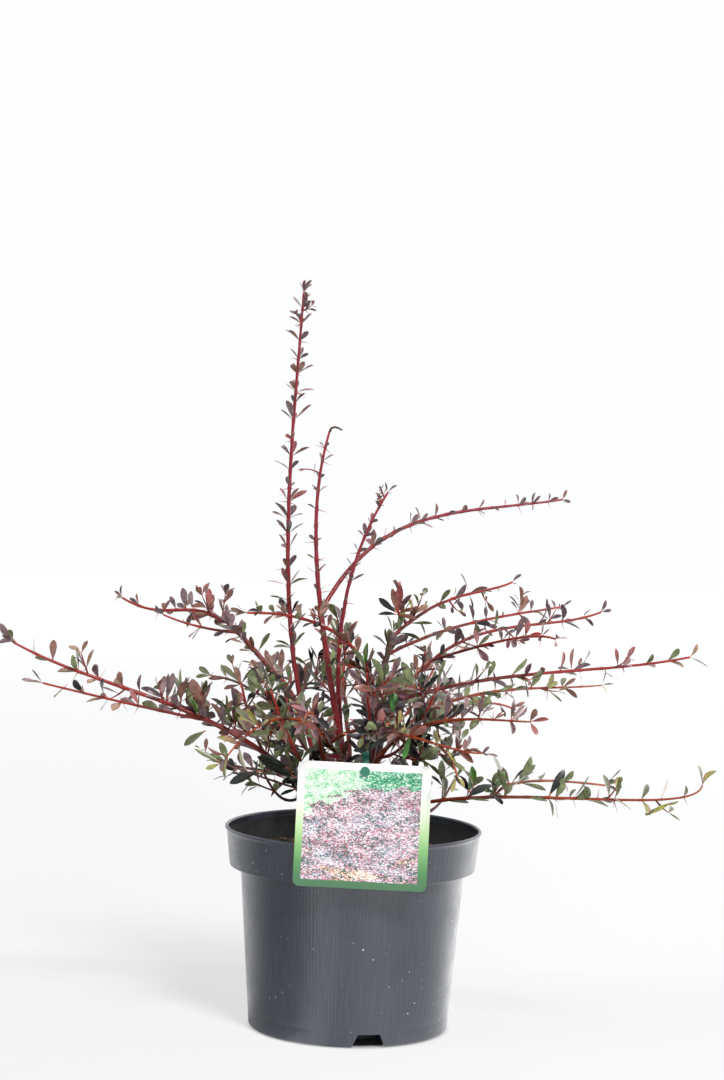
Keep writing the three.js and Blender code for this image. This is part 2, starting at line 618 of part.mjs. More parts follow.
function addLeaf(mass, point, tangent, along, length) {
  const root = point.clone().addScaledVector(along, -0.05);
  const leaf = leafSolid(root, along, tangent, length, 0);
  if (touches(mass.name, leaf)) return;
  mass.pieces.push(leaf);
  mass.clearances.push(leafSolid(root, along, tangent, length, GAP));
}

// Leaves at even nodes along a stem, each turned on by the golden angle, and one at its
// tip. They are full size to half way and smaller toward the tip.
function addLeaves(mass, curve, random, first, size) {
  const length = curve.getLength();
  const nodes = Math.max(1, Math.round((length - first) / NODE_SPACING));
  for (let node = 0; node < nodes; node += 1) {
    const share = (first + ((length - first) * node) / nodes) / length;
    const tangent = curve.getTangentAt(share);
    const leafLength = size * (1 - 0.45 * Math.max(0, share - 0.5)) * (0.85 + 0.3 * random());
    const turn = node * GOLDEN_ANGLE + 0.6 * random();
    const lean = THREE.MathUtils.degToRad(48 + 28 * random());
    addLeaf(mass, curve.getPointAt(share), tangent, leaning(tangent, turn, lean), leafLength);
  }
  const end = curve.getTangentAt(1);
  const upward = leaning(end, 0, Math.PI / 2);
  addLeaf(mass, curve.getPointAt(1), upward, end, size * 0.6);
}

// A side twig that curves a little toward the sky, skipped where it would touch a neighbour
function addTwig(mass, point, direction, length, random) {
  const end = point.clone().addScaledVector(direction, length);
  end.z += 0.18 * length;
  const middle = point.clone().addScaledVector(direction, 0.55 * length);
  const curve = new THREE.QuadraticBezierCurve3(point, middle, end);
  const twig = rodAlong(curve, TWIG_FOOT_RADIUS, TWIG_TIP_RADIUS, 3, 2);
  if (touches(mass.name, twig)) return;
  mass.pieces.push(twig);
  mass.clearances.push(rodAlong(curve, TWIG_FOOT_RADIUS + GAP, TWIG_TIP_RADIUS + GAP, 3, 2));
  addLeaves(mass, curve, random, 0.45 * length, 0.9 * mass.leaf);
}

function addFork(mass, fork, random) {
  const start = routes[mass.name].getPoint(fork.at);
  const curve = new THREE.QuadraticBezierCurve3(
    start,
    vector(fork.via).multiplyScalar(2).addScaledVector(start, -0.5).addScaledVector(vector(fork.tip), -0.5),
    vector(fork.tip),
  );
  const steps = Math.max(3, Math.round(curve.getLength() / 28));
  mass.pieces.push(cutClear(mass.name, rodAlong(curve, TWIG_FOOT_RADIUS * 1.2, TWIG_TIP_RADIUS, 3, steps)));
  mass.clearances.push(rodAlong(curve, TWIG_FOOT_RADIUS + 2 * GAP, TWIG_TIP_RADIUS + GAP, 3, steps));
  addLeaves(mass, curve, random, 12, mass.leaf);
}

function growMass(mass) {
  const random = seeded(mass.seed);
  mass.clearances = [];
  for (const fork of mass.forks ?? []) addFork(mass, fork, random);
  for (let twig = 0; twig < mass.twigs; twig += 1) {
    const share = (twig + 0.5) / mass.twigs;
    const tangent = mass.stem.getTangentAt(share);
    const direction = leaning(tangent, 2 * Math.PI * random(), THREE.MathUtils.degToRad(46 + 18 * random()));
    const twigLength = mass.twigLength * (0.75 + 0.5 * random());
    addTwig(mass, mass.stem.getPointAt(share), direction, twigLength, random);
  }
  addLeaves(mass, mass.stem, random, 0.6 * NODE_SPACING, mass.leaf);
  for (const clearance of mass.clearances) stand(mass.name, clearance);
  addPart(`foliage_${mass.name}`, wholeBody(wasm.Manifold.union(mass.pieces)), TONES[mass.tone], 0.6);
}

masses.forEach(growMass);

export default shrub;
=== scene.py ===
import math
from collections import namedtuple

import bpy
import numpy as np
from mathutils import Matrix, Vector


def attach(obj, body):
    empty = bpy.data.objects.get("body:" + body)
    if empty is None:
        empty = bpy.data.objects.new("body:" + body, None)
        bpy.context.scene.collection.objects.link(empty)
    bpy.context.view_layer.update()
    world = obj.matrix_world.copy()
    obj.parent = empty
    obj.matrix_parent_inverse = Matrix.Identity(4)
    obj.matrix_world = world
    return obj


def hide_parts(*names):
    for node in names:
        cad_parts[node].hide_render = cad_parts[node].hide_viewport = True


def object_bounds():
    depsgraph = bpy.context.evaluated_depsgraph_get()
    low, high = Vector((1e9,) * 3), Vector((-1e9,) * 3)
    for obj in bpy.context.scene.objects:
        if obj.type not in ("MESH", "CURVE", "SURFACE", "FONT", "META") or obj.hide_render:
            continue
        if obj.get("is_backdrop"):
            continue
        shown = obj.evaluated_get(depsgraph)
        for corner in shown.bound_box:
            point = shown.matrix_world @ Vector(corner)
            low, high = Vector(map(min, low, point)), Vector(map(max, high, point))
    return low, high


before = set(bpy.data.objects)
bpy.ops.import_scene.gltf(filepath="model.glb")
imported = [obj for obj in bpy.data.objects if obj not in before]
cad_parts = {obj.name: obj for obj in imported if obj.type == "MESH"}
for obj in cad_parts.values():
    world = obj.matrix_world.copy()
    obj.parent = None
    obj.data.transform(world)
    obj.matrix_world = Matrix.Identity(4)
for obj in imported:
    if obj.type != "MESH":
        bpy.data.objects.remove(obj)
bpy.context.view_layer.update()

# Studio: a wide pale table top that glows a little except under the pot, and a white sky,
# with a broad soft lamp high on the right front and a weaker one on the left. Gloss sees
# dark cards on the left and white ones on the right. The camera has the photograph's place,
# tilt and roll. None of it is part of the object.
SQUARE = ((-1, -1), (1, -1), (1, 1), (-1, 1))
TABLE_HALF = 6.0
TABLE_DROP = 0.0002
TABLE_BEND = 0.211
BEND_HALF = 0.004
TABLE_GLOW = 0.62
GLOW_AFAR = 0.085
AFAR_REACHES = (0.4, 4.5)
GLOW_RIGHT = 0.05
RIGHT_REACHES = (-0.3, 0.3)
CONTACT_SHADOW_REACHES = (0.064, 0.076)
SKY_COLOUR = (0.985, 0.99, 1.0, 1.0)
SKY_ON_MATT = 0.4
CARDS_PEAK = 4.0
CARDS_AROUND = (              # share of the turn about the Z axis from behind, brightness
    (0.0, 0.3), (0.17, 0.3), (0.25, 0.1), (0.33, 0.12), (0.385, 0.25), (0.41, 0.6), (0.45, 0.66),
    (0.475, 0.36), (0.52, 0.5), (0.57, 0.6), (0.66, 0.44), (0.73, 0.42), (0.8, 0.55), (0.84, 0.7),
    (1.0, 0.4),
)
LAMPS = {                     # source, strength, width in degrees, colour
    "key_lamp": ((0.45, -1.0, 1.1), 3.5, 14, (1.0, 0.985, 0.96)),
    "side_lamp": ((-1.2, -0.4, 0.7), 0.7, 30, (0.94, 0.97, 1.0)),
}
CAMERA_PLACE = Vector((0, -1.850, 0.430))
CAMERA_PITCH = math.radians(2.15)
CAMERA_ROLL = math.radians(1.7)
PHOTO_HEIGHT_PIXELS = 1080
FOCAL_PIXELS = 2510
SENSOR_WIDTH = 36.0


def tint(code):
    """Linear colour of a grey level, or of a screen colour given as six hex digits, each
    share of which is put through the screen's own curve."""
    if not isinstance(code, str):
        return (code, code, code, 1.0)
    shares = np.array([int(code[i : i + 2], 16) for i in (0, 2, 4)]) / 255
    linear = np.where(shares <= 0.04045, shares / 12.92, ((shares + 0.055) / 1.055) ** 2.4)
    return (*linear.tolist(), 1.0)


def wired(tree, kind, inputs=None, **settings):
    """A new node of that kind. Each input is set to a value, or fed by a socket."""
    node = tree.nodes.new("ShaderNode" + kind)
    for setting, value in settings.items():
        setattr(node, setting, value)
    for socket, value in (inputs or {}).items():
        if isinstance(value, bpy.types.NodeSocket):
            tree.links.new(value, node.inputs[socket])
        else:
            node.inputs[socket].default_value = value
    return node


def reckoned(tree, operation, first, second=0.0, **settings):
    """Value socket of one step of arithmetic on sockets or numbers."""
    return wired(tree, "Math", {0: first, 1: second}, operation=operation, **settings).outputs[0]


def spanned(tree, value, low, high, start=0.0, end=1.0, curve="LINEAR"):
    """Socket of a value that is carried over from the range low to high to start to end."""
    ends = {"Value": value, "From Min": low, "From Max": high, "To Min": start, "To Max": end}
    return wired(tree, "MapRange", ends, interpolation_type=curve).outputs["Result"]


def ramp(tree, share, stops, interpolation="LINEAR"):
    """Colour socket of a ramp with the given (position, colour) stops over a share."""
    node = wired(tree, "ValToRGB", {"Fac": share})
    node.color_ramp.interpolation = interpolation
    for element, (position, colour) in zip(node.color_ramp.elements, (stops[0], stops[-1])):
        element.position = position
        element.color = tint(colour)
    for position, colour in stops[1:-1]:
        node.color_ramp.elements.new(position).color = tint(colour)
    return node.outputs["Color"]


def object_place(tree):
    """Socket of the place on the object."""
    return wired(tree, "TexCoord").outputs["Object"]


def axes_of(tree, vector):
    """The X, Y and Z sockets of a vector socket."""
    return wired(tree, "SeparateXYZ", {"Vector": vector}).outputs


def finish_of(name, colour, roughness, **sockets):
    """A material on the Principled shader with a plain colour and roughness, and its tree."""
    material = bpy.data.materials.new(name)
    material.use_nodes = True
    shader = material.node_tree.nodes["Principled BSDF"]
    shader.inputs["Base Color"].default_value = tint(colour)
    shader.inputs["Roughness"].default_value = roughness
    for socket, value in sockets.items():
        shader.inputs[socket.replace("_", " ")].default_value = value
    return material, material.node_tree, shader


def group_of(name, starts, results):
    """A new node group with inputs of those start values and those float outputs."""
    group = bpy.data.node_groups.new(name, "ShaderNodeTree")
    for socket, start in starts.items():
        kind = "NodeSocketFloat" if isinstance(start, float) else "NodeSocketVector"
        group.interface.new_socket(socket, in_out="INPUT", socket_type=kind).default_value = start
    for socket in results:
        group.interface.new_socket(socket, in_out="OUTPUT", socket_type="NodeSocketFloat")
    return group, group.nodes.new("NodeGroupInput").outputs, group.nodes.new("NodeGroupOutput").inputs


def build_grain_group():
    """Fine mottling: fractal noise on object coordinates, as a height, and as a value that
    runs from Low to High."""
    starts = {"Scale": 200.0, "Low": 0.0, "High": 1.0}
    group, given, result = group_of("fine_grain", starts, ("Value", "Height"))
    noise = wired(group, "TexNoise", {
        "Vector": object_place(group), "Scale": given["Scale"], "Detail": 3.0, "Roughness": 0.6,
    }).outputs["Fac"]
    group.links.new(spanned(group, noise, 0.32, 0.68, given["Low"], given["High"]), result["Value"])
    group.links.new(noise, result["Height"])
    return group


grain_group = build_grain_group()


def grain(tree, scale, low=0.0, high=1.0):
    """Sockets of the fine grain, placed in a material with its own scale and range."""
    starts = {"Scale": scale, "Low": low, "High": high}
    return wired(tree, "Group", starts, node_tree=grain_group).outputs


def roughened(tree, shader, scale, low, high, depth=0.0, height=None):
    """Feeds the shader's roughness by a grain from low to high and, where a depth in metres
    is given, its normal by a bump of the grain's height or of another one."""
    sockets = grain(tree, scale, low, high)
    tree.links.new(sockets["Value"], shader.inputs["Roughness"])
    if depth:
        height = sockets["Height"] if height is None else height
        bump = {"Height": height, "Strength": 1.0, "Distance": depth}
        tree.links.new(wired(tree, "Bump", bump).outputs["Normal"], shader.inputs["Normal"])
    return sockets


def build_cards_group():
    """Strength of the studio as gloss sees it in each direction about the Z axis from the
    object: dark cards on the left, a narrow lamp left of the camera and white cards on the
    right."""
    group, given, result = group_of("studio_cards", {"Vector": (0.0, 0.0, 0.0)}, ("Strength",))
    way = axes_of(group, given["Vector"])
    turn = reckoned(group, "ARCTAN2", way["X"], reckoned(group, "MULTIPLY", way["Y"], -1.0))
    level = ramp(group, spanned(group, turn, -math.pi, math.pi), CARDS_AROUND)
    group.links.new(reckoned(group, "MULTIPLY", level, CARDS_PEAK), result["Strength"])
    return group


cards_group = build_cards_group()


def cards_seen(tree, way):
    """Strength socket of the studio in the direction of the way socket."""
    return wired(tree, "Group", {"Vector": way}, node_tree=cards_group).outputs["Strength"]


def shown(name, data):
    """A new object in the scene with that mesh, lamp or camera."""
    item = bpy.data.objects.new(name, data)
    bpy.context.scene.collection.objects.link(item)
    return item


table_finish, tree, shader = finish_of("table_white", "868686", 0.6, Specular_IOR_Level=0.0)
roughened(tree, shader, 6.0, 0.5, 0.7)
place = object_place(tree)
spot = axes_of(tree, place)
afar = spanned(tree, spot["Y"], *AFAR_REACHES, 0.0, GLOW_AFAR, "SMOOTHSTEP")
glow_right = spanned(tree, spot["X"], *RIGHT_REACHES, 0.0, GLOW_RIGHT, "SMOOTHSTEP")
glow = reckoned(tree, "ADD", reckoned(tree, "ADD", afar, TABLE_GLOW), glow_right)
in_gloss = wired(tree, "LightPath").outputs["Is Glossy Ray"]
glow_seen = spanned(tree, in_gloss, 0.0, 1.0, glow, cards_seen(tree, place))
# The glow fades out toward the pot's foot, so a painted contact shadow lies under and just round the pot.
reach = wired(tree, "VectorMath", {0: place}, operation="LENGTH").outputs["Value"]
table_glow = reckoned(tree, "MULTIPLY", glow_seen, spanned(tree, reach, *CONTACT_SHADOW_REACHES))
tree.links.new(table_glow, shader.inputs["Emission Strength"])
bend = spanned(tree, spot["Y"], TABLE_BEND - BEND_HALF, TABLE_BEND + BEND_HALF)
table_shade = ramp(tree, bend, ((0.0, "848485"), (1.0, "868789")))
tree.links.new(table_shade, shader.inputs["Base Color"])
table_mesh = bpy.data.meshes.new("table_top")
table_corners = [(x * TABLE_HALF, y * TABLE_HALF, -TABLE_DROP) for x, y in SQUARE]
table_mesh.from_pydata(table_corners, [], [(0, 1, 2, 3)])
table_mesh.materials.append(table_finish)
table_top = shown("table_top", table_mesh)
table_top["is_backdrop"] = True

sky = bpy.data.worlds.new("white_sky")
sky.use_nodes = True
tree = sky.node_tree
sky_light = tree.nodes["Background"]
sky_light.inputs["Color"].default_value = SKY_COLOUR
ray = wired(tree, "LightPath").outputs
on_matt = spanned(tree, ray["Is Diffuse Ray"], 0.0, 1.0, 1.0, SKY_ON_MATT)
in_gloss = cards_seen(tree, wired(tree, "TexCoord").outputs["Generated"])
sky_strength = spanned(tree, ray["Is Glossy Ray"], 0.0, 1.0, on_matt, in_gloss)
tree.links.new(sky_strength, sky_light.inputs["Strength"])
bpy.context.scene.world = sky
bpy.context.scene.view_settings.view_transform = "Standard"

for lamp_name, (source, strength, width_degrees, colour) in LAMPS.items():
    lamp_data = bpy.data.lights.new(lamp_name, "SUN")
    lamp_data.energy = strength
    lamp_data.angle = math.radians(width_degrees)
    lamp_data.color = colour
    lamp = shown(lamp_name, lamp_data)
    lamp.rotation_euler = (-Vector(source)).to_track_quat("-Z", "Y").to_euler()

camera_data = bpy.data.cameras.new("camera")
camera_data.sensor_width = SENSOR_WIDTH
camera_data.lens = FOCAL_PIXELS / PHOTO_HEIGHT_PIXELS * SENSOR_WIDTH
camera = shown("camera", camera_data)
look = Vector((0, math.cos(CAMERA_PITCH), -math.sin(CAMERA_PITCH)))
level_up = Vector((0, math.sin(CAMERA_PITCH), math.cos(CAMERA_PITCH)))
right = Vector((1, 0, 0)) * math.cos(CAMERA_ROLL) + level_up * math.sin(CAMERA_ROLL)
camera_turn = Matrix((right, right.cross(look), -look)).transposed().to_4x4()
camera.matrix_world = Matrix.Translation(CAMERA_PLACE) @ camera_turn
bpy.context.scene.camera = camera

# Pot: thin dark injection-moulded plastic with a wide collar under its rounded lip. Fine
# flutes from the mould run down the wall, a faint ring marks the mould's foot, and three
# notches with roofed channels drain the foot.
MM = 0.001
POT_HEIGHT = 148
POT_BASE_RADIUS = 74
POT_BODY_TOP_RADIUS = 82.8
COLLAR_FOOT_RADIUS = 91
COLLAR_TOP_RADIUS = 94
COLLAR_FOOT = 119
COLLAR_FILLET = 1.2
COLLAR_EDGE = 0.9
COLLAR_EDGE_HEIGHT = 1
POT_WALL = 1.6
POT_FLOOR = 2
POT_FLAT = 30
POT_CORNER = 3
WALL_HEIGHTS = np.array([20, 45, 70, 95, COLLAR_FOOT - 1.5])
LIP_RADIUS = 1.3
LIP_OVERHANG = 1
LIP_DEPTH = 5
MOULD_RING_HEIGHT = 12
MOULD_RING_DEPTH = 0.12
MOULD_RING_STEPS = np.array([-0.8, -0.3, 0.3, 0.8])
FLUTES = 200
FLUTE_DEPTH = 0.15
STEPS_PER_FLUTE = 4
DRAIN_COUNT = 3
DRAIN_TURN = math.radians(12)
DRAIN_FOOT_HALF = 13
DRAIN_ROOF_HALF = 8
DRAIN_HEIGHT = 10
DRAIN_INNER_END = 46
ROOF_INSET = 0.8
HOLE_OUTSET = 8
POT_CREASE = 40


def piece_of(name, corners, quads, triangles, finishes, looks=None, crease=POT_CREASE):
    """A mesh piece from corners in millimetres. Faces are smooth, with an edge kept sharp
    where two of them meet at more than the crease angle. looks gives each face, quads
    first, its place in the list of finishes."""
    mesh = bpy.data.meshes.new(name)
    places = (np.asarray(corners) * MM).astype(np.float32).ravel()
    mesh.vertices.add(len(places) // 3)
    mesh.vertices.foreach_set("co", places)
    loops = np.concatenate([np.ravel(quads), np.ravel(triangles)]).astype(np.int32)
    mesh.loops.add(len(loops))
    mesh.loops.foreach_set("vertex_index", loops)
    sizes = np.repeat([4, 3], [len(quads), len(triangles)])
    mesh.polygons.add(len(sizes))
    mesh.polygons.foreach_set("loop_start", (np.cumsum(sizes) - sizes).astype(np.int32))
    mesh.polygons.foreach_set("use_smooth", np.ones(len(sizes), bool))
    if looks is not None:
        mesh.polygons.foreach_set("material_index", np.asarray(looks, np.int32))
    for finish in finishes:
        mesh.materials.append(finish)
    mesh.update(calc_edges=True)
    mesh.set_sharp_from_angle(angle=math.radians(crease))
    return shown(name, mesh)


def tube_of(rings, first_pole, last_pole):
    """Corners, quads and triangles of a closed tube. Quads join each ring to the next one,
    and a fan of triangles joins the end rings to the poles. Rings turn anticlockwise about
    the way they run, so faces point outwards."""
    count, sides = rings.shape[:2]
    ring = np.arange(count - 1)[:, None] * sides
    side = np.arange(sides)[None, :]
    after = (side + 1) % sides
    quads = np.stack([ring + side, ring + after, ring + sides + after, ring + sides + side], -1)
    last = (count - 1) * sides
    first_fan = np.stack([np.full(sides, count * sides), after[0], side[0]], -1)
    last_fan = np.stack([last + side[0], last + after[0], np.full(sides, count * sides + 1)], -1)
    corners = np.concatenate([rings.reshape(-1, 3), [first_pole], [last_pole]])
    return corners, quads.reshape(-1, 4), np.concatenate([first_fan, last_fan])


def joined(parts):
    """One set of corners, quads and triangles from many, each part's face numbers moved on
    by the corners before it."""
    offsets = np.cumsum([0] + [len(part[0]) for part in parts])[:-1]
    corners, quads, triangles = zip(*parts)
    return (
        np.concatenate(corners),
        np.concatenate([faces + offset for faces, offset in zip(quads, offsets)]),
        np.concatenate([faces + offset for faces, offset in zip(triangles, offsets)]),
    )


def even_angles(sides):
    """Angles of even steps round a circle."""
    return np.arange(sides) * 2 * math.pi / sides


def polar(radius, angle, height):
    """Points of that radius and angle about the Z axis, at that height."""
    return np.stack(np.broadcast_arrays(radius * np.cos(angle), radius * np.sin(angle), height), -1)


def turned(profile, sides, swell=0):
    """A body turned about the Z axis: the radius and height of each profile point carried
    round in even steps, with swell added to the radius as an array of rows by steps."""
    radius, height = profile.T[..., None]
    rings = polar(radius + swell, even_angles(sides), height)
    return tube_of(rings, (0, 0, profile[0][1]), (0, 0, profile[-1][1]))


def arc(centre, radius, start, end, steps):
    """Profile points on an arc from one angle to another, in degrees."""
    angle = np.radians(np.linspace(start, end, steps))
    return np.array(centre) + radius * np.column_stack([np.cos(angle), np.sin(angle)])


def wall_radius(height):
    """Radius of the pot's outside, which widens evenly from its foot corner to the collar."""
    share = (np.asarray(height) - POT_CORNER) / (COLLAR_FOOT - POT_CORNER)
    return POT_BASE_RADIUS + share * (POT_BODY_TOP_RADIUS - POT_BASE_RADIUS)


ring_heights = MOULD_RING_HEIGHT + MOULD_RING_STEPS
ring_depths = MOULD_RING_DEPTH * np.array([0, 1, 1, 0])
collar_share = np.linspace(0.04, 0.86, 6)
collar_start = COLLAR_FOOT + COLLAR_EDGE_HEIGHT
collar_back = COLLAR_FOOT_RADIUS - POT_WALL
foot_rows = np.vstack([
    [[POT_FLAT, 0], [2 * POT_FLAT, 0]],
    arc((POT_BASE_RADIUS - POT_CORNER, POT_CORNER), POT_CORNER, -90, 0, 7),
])
outside = np.vstack([
    foot_rows,
    np.column_stack([wall_radius(ring_heights) - ring_depths, ring_heights]),
    np.column_stack([wall_radius(WALL_HEIGHTS), WALL_HEIGHTS]),
    arc((POT_BODY_TOP_RADIUS + COLLAR_FILLET, COLLAR_FOOT - COLLAR_FILLET), COLLAR_FILLET, 180, 90, 4),
    arc((COLLAR_FOOT_RADIUS - COLLAR_EDGE, COLLAR_FOOT + COLLAR_EDGE), COLLAR_EDGE, -90, 0, 5),
    np.column_stack([
        COLLAR_FOOT_RADIUS + collar_share * (COLLAR_TOP_RADIUS - COLLAR_FOOT_RADIUS),
        collar_start + collar_share * (POT_HEIGHT - collar_start),
    ]),
])
lip_centre = (COLLAR_TOP_RADIUS + LIP_OVERHANG - LIP_RADIUS, POT_HEIGHT - LIP_RADIUS)
lip = arc(lip_centre, LIP_RADIUS, -70, 190, 14)
inside = [
    [COLLAR_TOP_RADIUS - POT_WALL, POT_HEIGHT - LIP_DEPTH],
    [collar_back + 0.4, COLLAR_FOOT + POT_WALL + 1],
    [collar_back - 0.6, COLLAR_FOOT + POT_WALL],
    [POT_BODY_TOP_RADIUS - POT_WALL, COLLAR_FOOT + POT_WALL],
    [wall_radius(60) - POT_WALL - 0.5, 60],
    [wall_radius(POT_FLOOR) - POT_WALL - 1, POT_FLOOR],
    [POT_FLAT, POT_FLOOR],
]
profile = np.vstack([outside, lip, inside])
pot_sides = FLUTES * STEPS_PER_FLUTE
pot_angle = even_angles(pot_sides)
row = np.arange(len(profile))
on_wall = (row >= len(foot_rows) + len(ring_heights) - 1) & (row < len(outside))
fluted = on_wall & (np.abs(profile[:, 1] - COLLAR_FOOT) > COLLAR_EDGE_HEIGHT)
# Two slow waves round the wall let the flutes fade in and out.
flute_strength = 0.55 + 0.45 * np.sin(2 * pot_angle + 2.4) * np.sin(5 * pot_angle + 0.7)
flutes = -FLUTE_DEPTH * flute_strength * (0.5 + 0.5 * np.cos(FLUTES * pot_angle))
pot_shell = turned(profile, pot_sides, fluted[:, None] * flutes)


def drain_wedge(outset, inner, outer, low):
    """A drain's wedge, a trapezium narrower at its roof, run from a flat inner end to an
    outer end that lies on the cylinder of the outer radius."""
    roof = DRAIN_ROOF_HALF + outset
    high = DRAIN_HEIGHT + outset
    foot_half = roof + (DRAIN_FOOT_HALF - DRAIN_ROOF_HALF) * (high - low) / (high + 1)
    outline = np.array([[foot_half, low], [roof, high], [-roof, high], [-foot_half, low]])
    near = np.stack([outline[:, 0], np.full(4, -inner), outline[:, 1]], -1)
    far = np.stack([outline[:, 0], -np.sqrt(outer**2 - outline[:, 0] ** 2), outline[:, 1]], -1)
    return tube_of(np.stack([near, far]), near.mean(0), far.mean(0))


def round_the_pot(wedge):
    """All drains as one set of faces: the wedge turned about the Z axis in even steps."""
    corners, quads, triangles = wedge
    drains = []
    for i in range(DRAIN_COUNT):
        angle = DRAIN_TURN + i * (2 * math.pi / DRAIN_COUNT)
        turn = np.array([
            [math.cos(angle), -math.sin(angle), 0], [math.sin(angle), math.cos(angle), 0], [0, 0, 1],
        ])
        drains.append((corners @ turn.T, quads, triangles))
    return joined(drains)


def carved(piece, tool, operation):
    """Applies a Boolean of the tool to the piece, and removes the tool."""
    cut = piece.modifiers.new("cut", "BOOLEAN")
    cut.object = tool
    cut.operation = operation
    cut.solver = "EXACT"
    bpy.context.view_layer.update()
    result = piece.evaluated_get(bpy.context.evaluated_depsgraph_get())
    result = bpy.data.meshes.new_from_object(result)
    piece.modifiers.clear()
    piece.data = result
    bpy.data.objects.remove(tool)


def build_speck_group():
    """Small scattered marks: round cells of random size around the points of a Voronoi
    pattern, kept only where the cell's own random number is under Share."""
    starts = {"Scale": 100.0, "Size": 0.1, "Share": 0.3}
    group, given, result = group_of("scattered_specks", starts, ("Mask",))
    place = object_place(group)
    cells = wired(group, "TexVoronoi", {"Vector": place, "Scale": given["Scale"]}).outputs
    dice = wired(group, "SeparateColor", {"Color": cells["Color"]}).outputs
    reach = reckoned(group, "MULTIPLY", dice["Green"], given["Size"])
    in_dot = reckoned(group, "LESS_THAN", cells["Distance"], reach)
    chosen = reckoned(group, "LESS_THAN", dice["Red"], given["Share"])
    group.links.new(reckoned(group, "MULTIPLY", in_dot, chosen), result["Mask"])
    return group


speck_group = build_speck_group()


def specks(tree, scale, size, share):
    """Mask socket of the scattered specks, placed in a material with their own values."""
    starts = {"Scale": scale, "Size": size, "Share": share}
    return wired(tree, "Group", starts, node_tree=speck_group).outputs["Mask"]


def mixed(tree, share, first, second):
    """Colour socket that goes from the first colour to the second by the share socket."""
    first, second = (tint(c) if isinstance(c, str) else c for c in (first, second))
    return wired(tree, "Mix", {"Factor": share, 6: first, 7: second}, data_type="RGBA").outputs[2]


pot_finish, tree, shader = finish_of("pot_plastic", "26292f", 0.36)
streak_map = wired(tree, "Mapping", {"Vector": object_place(tree), "Scale": (520, 520, 0.8)})
streaks = wired(tree, "TexNoise", {
    "Vector": streak_map.outputs["Vector"], "Scale": 1.0, "Detail": 2.0,
}).outputs["Fac"]
shade = mixed(tree, grain(tree, 25.0)["Value"], "1d222b", "222731")
shade = mixed(tree, spanned(tree, streaks, 0.4, 0.7), shade, "29303c")
dust = specks(tree, 420.0, 0.3, 0.09)
dust_patches = grain(tree, 22.0, -0.6, 1.0)["Value"]
dusty = reckoned(tree, "MULTIPLY", dust, dust_patches, use_clamp=True)
tree.links.new(mixed(tree, dusty, shade, "a5a8ac"), shader.inputs["Base Color"])
roughened(tree, shader, 60.0, 0.28, 0.38, 0.00001, streaks)
# The inside of the pot is near-black and matt, darker than the outside of the same plastic: painted shade
# for its dim hollow.
inside_shade_finish, tree, shader = finish_of("pot_inside_painted_shade", "0e0f10", 0.75)
roughened(tree, shader, 80.0, 0.65, 0.9, 0.0001)

look_rows = np.array([len(outside) + len(lip), len(inside) - 1, 1, 1])
pot_looks = np.repeat([0, 1, 0, 1], look_rows * pot_sides)
pot = piece_of("pot_shell", *pot_shell, [pot_finish, inside_shade_finish], pot_looks)
roof = drain_wedge(POT_WALL, DRAIN_INNER_END - POT_WALL, POT_BASE_RADIUS - ROOF_INSET, POT_FLOOR / 2)
carved(pot, piece_of("roofs", *round_the_pot(roof), []), "UNION")
hole = drain_wedge(0, DRAIN_INNER_END, POT_BASE_RADIUS + HOLE_OUTSET, -1)
carved(pot, piece_of("holes", *round_the_pot(hole), []), "DIFFERENCE")
pot.data.set_sharp_from_angle(angle=math.radians(POT_CREASE))
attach(pot, "root")
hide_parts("pot")

# Soil: dark peat compost, mounded toward the plant and a little below the rim, with loose
# bits of bark on it.
SOIL_RINGS = 70
SOIL_SIDES = 200
SOIL_EDGE_RADIUS = 88.9
SOIL_FOOT = 13.5
SOIL_GAP = 0.8
MOUND = ((0, 24, 50, 72, SOIL_EDGE_RADIUS), (136, 136, 133, 127.5, 126))
LUMPS = ((0.9, 14), (0.5, 5), (0.3, 2.5))          # height and length
CHIPS = 900
CHIP_HALVES = (2.2, 1.1, 0.5)
CHIP_COLOURS = {"bark_chip_dark": "33241b", "bark_chip_rust": "6b4023", "bark_chip_pale": "8a6a4a"}
CHIP_SHARES = [0.5, 0.3, 0.2]
BOX_CORNERS = np.array([[x, y, z] for z in (-1, 1) for x, y in SQUARE])
BOX_QUADS = np.array([[3, 2, 1, 0], [4, 5, 6, 7], [0, 1, 5, 4], [1, 2, 6, 5], [2, 3, 7, 6], [3, 0, 4, 7]])
NO_TRIANGLES = np.zeros((0, 3), int)


def waves(places, length, count, dice):
    """Smooth random relief of about -1 to 1: a sum of sine waves of about that length, with
    random directions and phases, at the given places."""
    ways = dice.normal(size=(count, places.shape[-1]))
    pitch = 2 * math.pi / length * dice.uniform(0.6, 1.5, (count, 1))
    ways *= pitch / np.linalg.norm(ways, axis=1, keepdims=True)
    phases = dice.uniform(0, 2 * math.pi, count)
    return np.sin(places @ ways.T + phases).sum(-1) / math.sqrt(count)


def soil_height(radius):
    """Height of the mound: flat round the trunk, then falling evenly toward the wall."""
    return np.interp(radius, *MOUND)


soil_dice = np.random.default_rng(7)
soil_radius = np.linspace(1, SOIL_EDGE_RADIUS, SOIL_RINGS)[::-1, None]
soil_angle = even_angles(SOIL_SIDES)
flat = np.stack([soil_radius * np.cos(soil_angle), soil_radius * np.sin(soil_angle)], -1)
lumps = sum(height * waves(flat, length, 24, soil_dice) for height, length in LUMPS)
top = polar(soil_radius, soil_angle, soil_height(soil_radius) + lumps)
below_collar = POT_BODY_TOP_RADIUS - POT_WALL - SOIL_GAP
foot_radius = wall_radius(SOIL_FOOT) - POT_WALL - 2 * SOIL_GAP
skirt_profile = np.array([
    [foot_radius, SOIL_FOOT], [below_collar, 120.2], [below_collar, 121], [SOIL_EDGE_RADIUS - 0.7, 121],
])
skirt_radius, skirt_height = skirt_profile.T[..., None]
skirt = polar(skirt_radius, soil_angle, skirt_height)
soil_body = tube_of(np.concatenate([skirt, top]), (0, 0, SOIL_FOOT), (0, 0, soil_height(0) + 0.4))

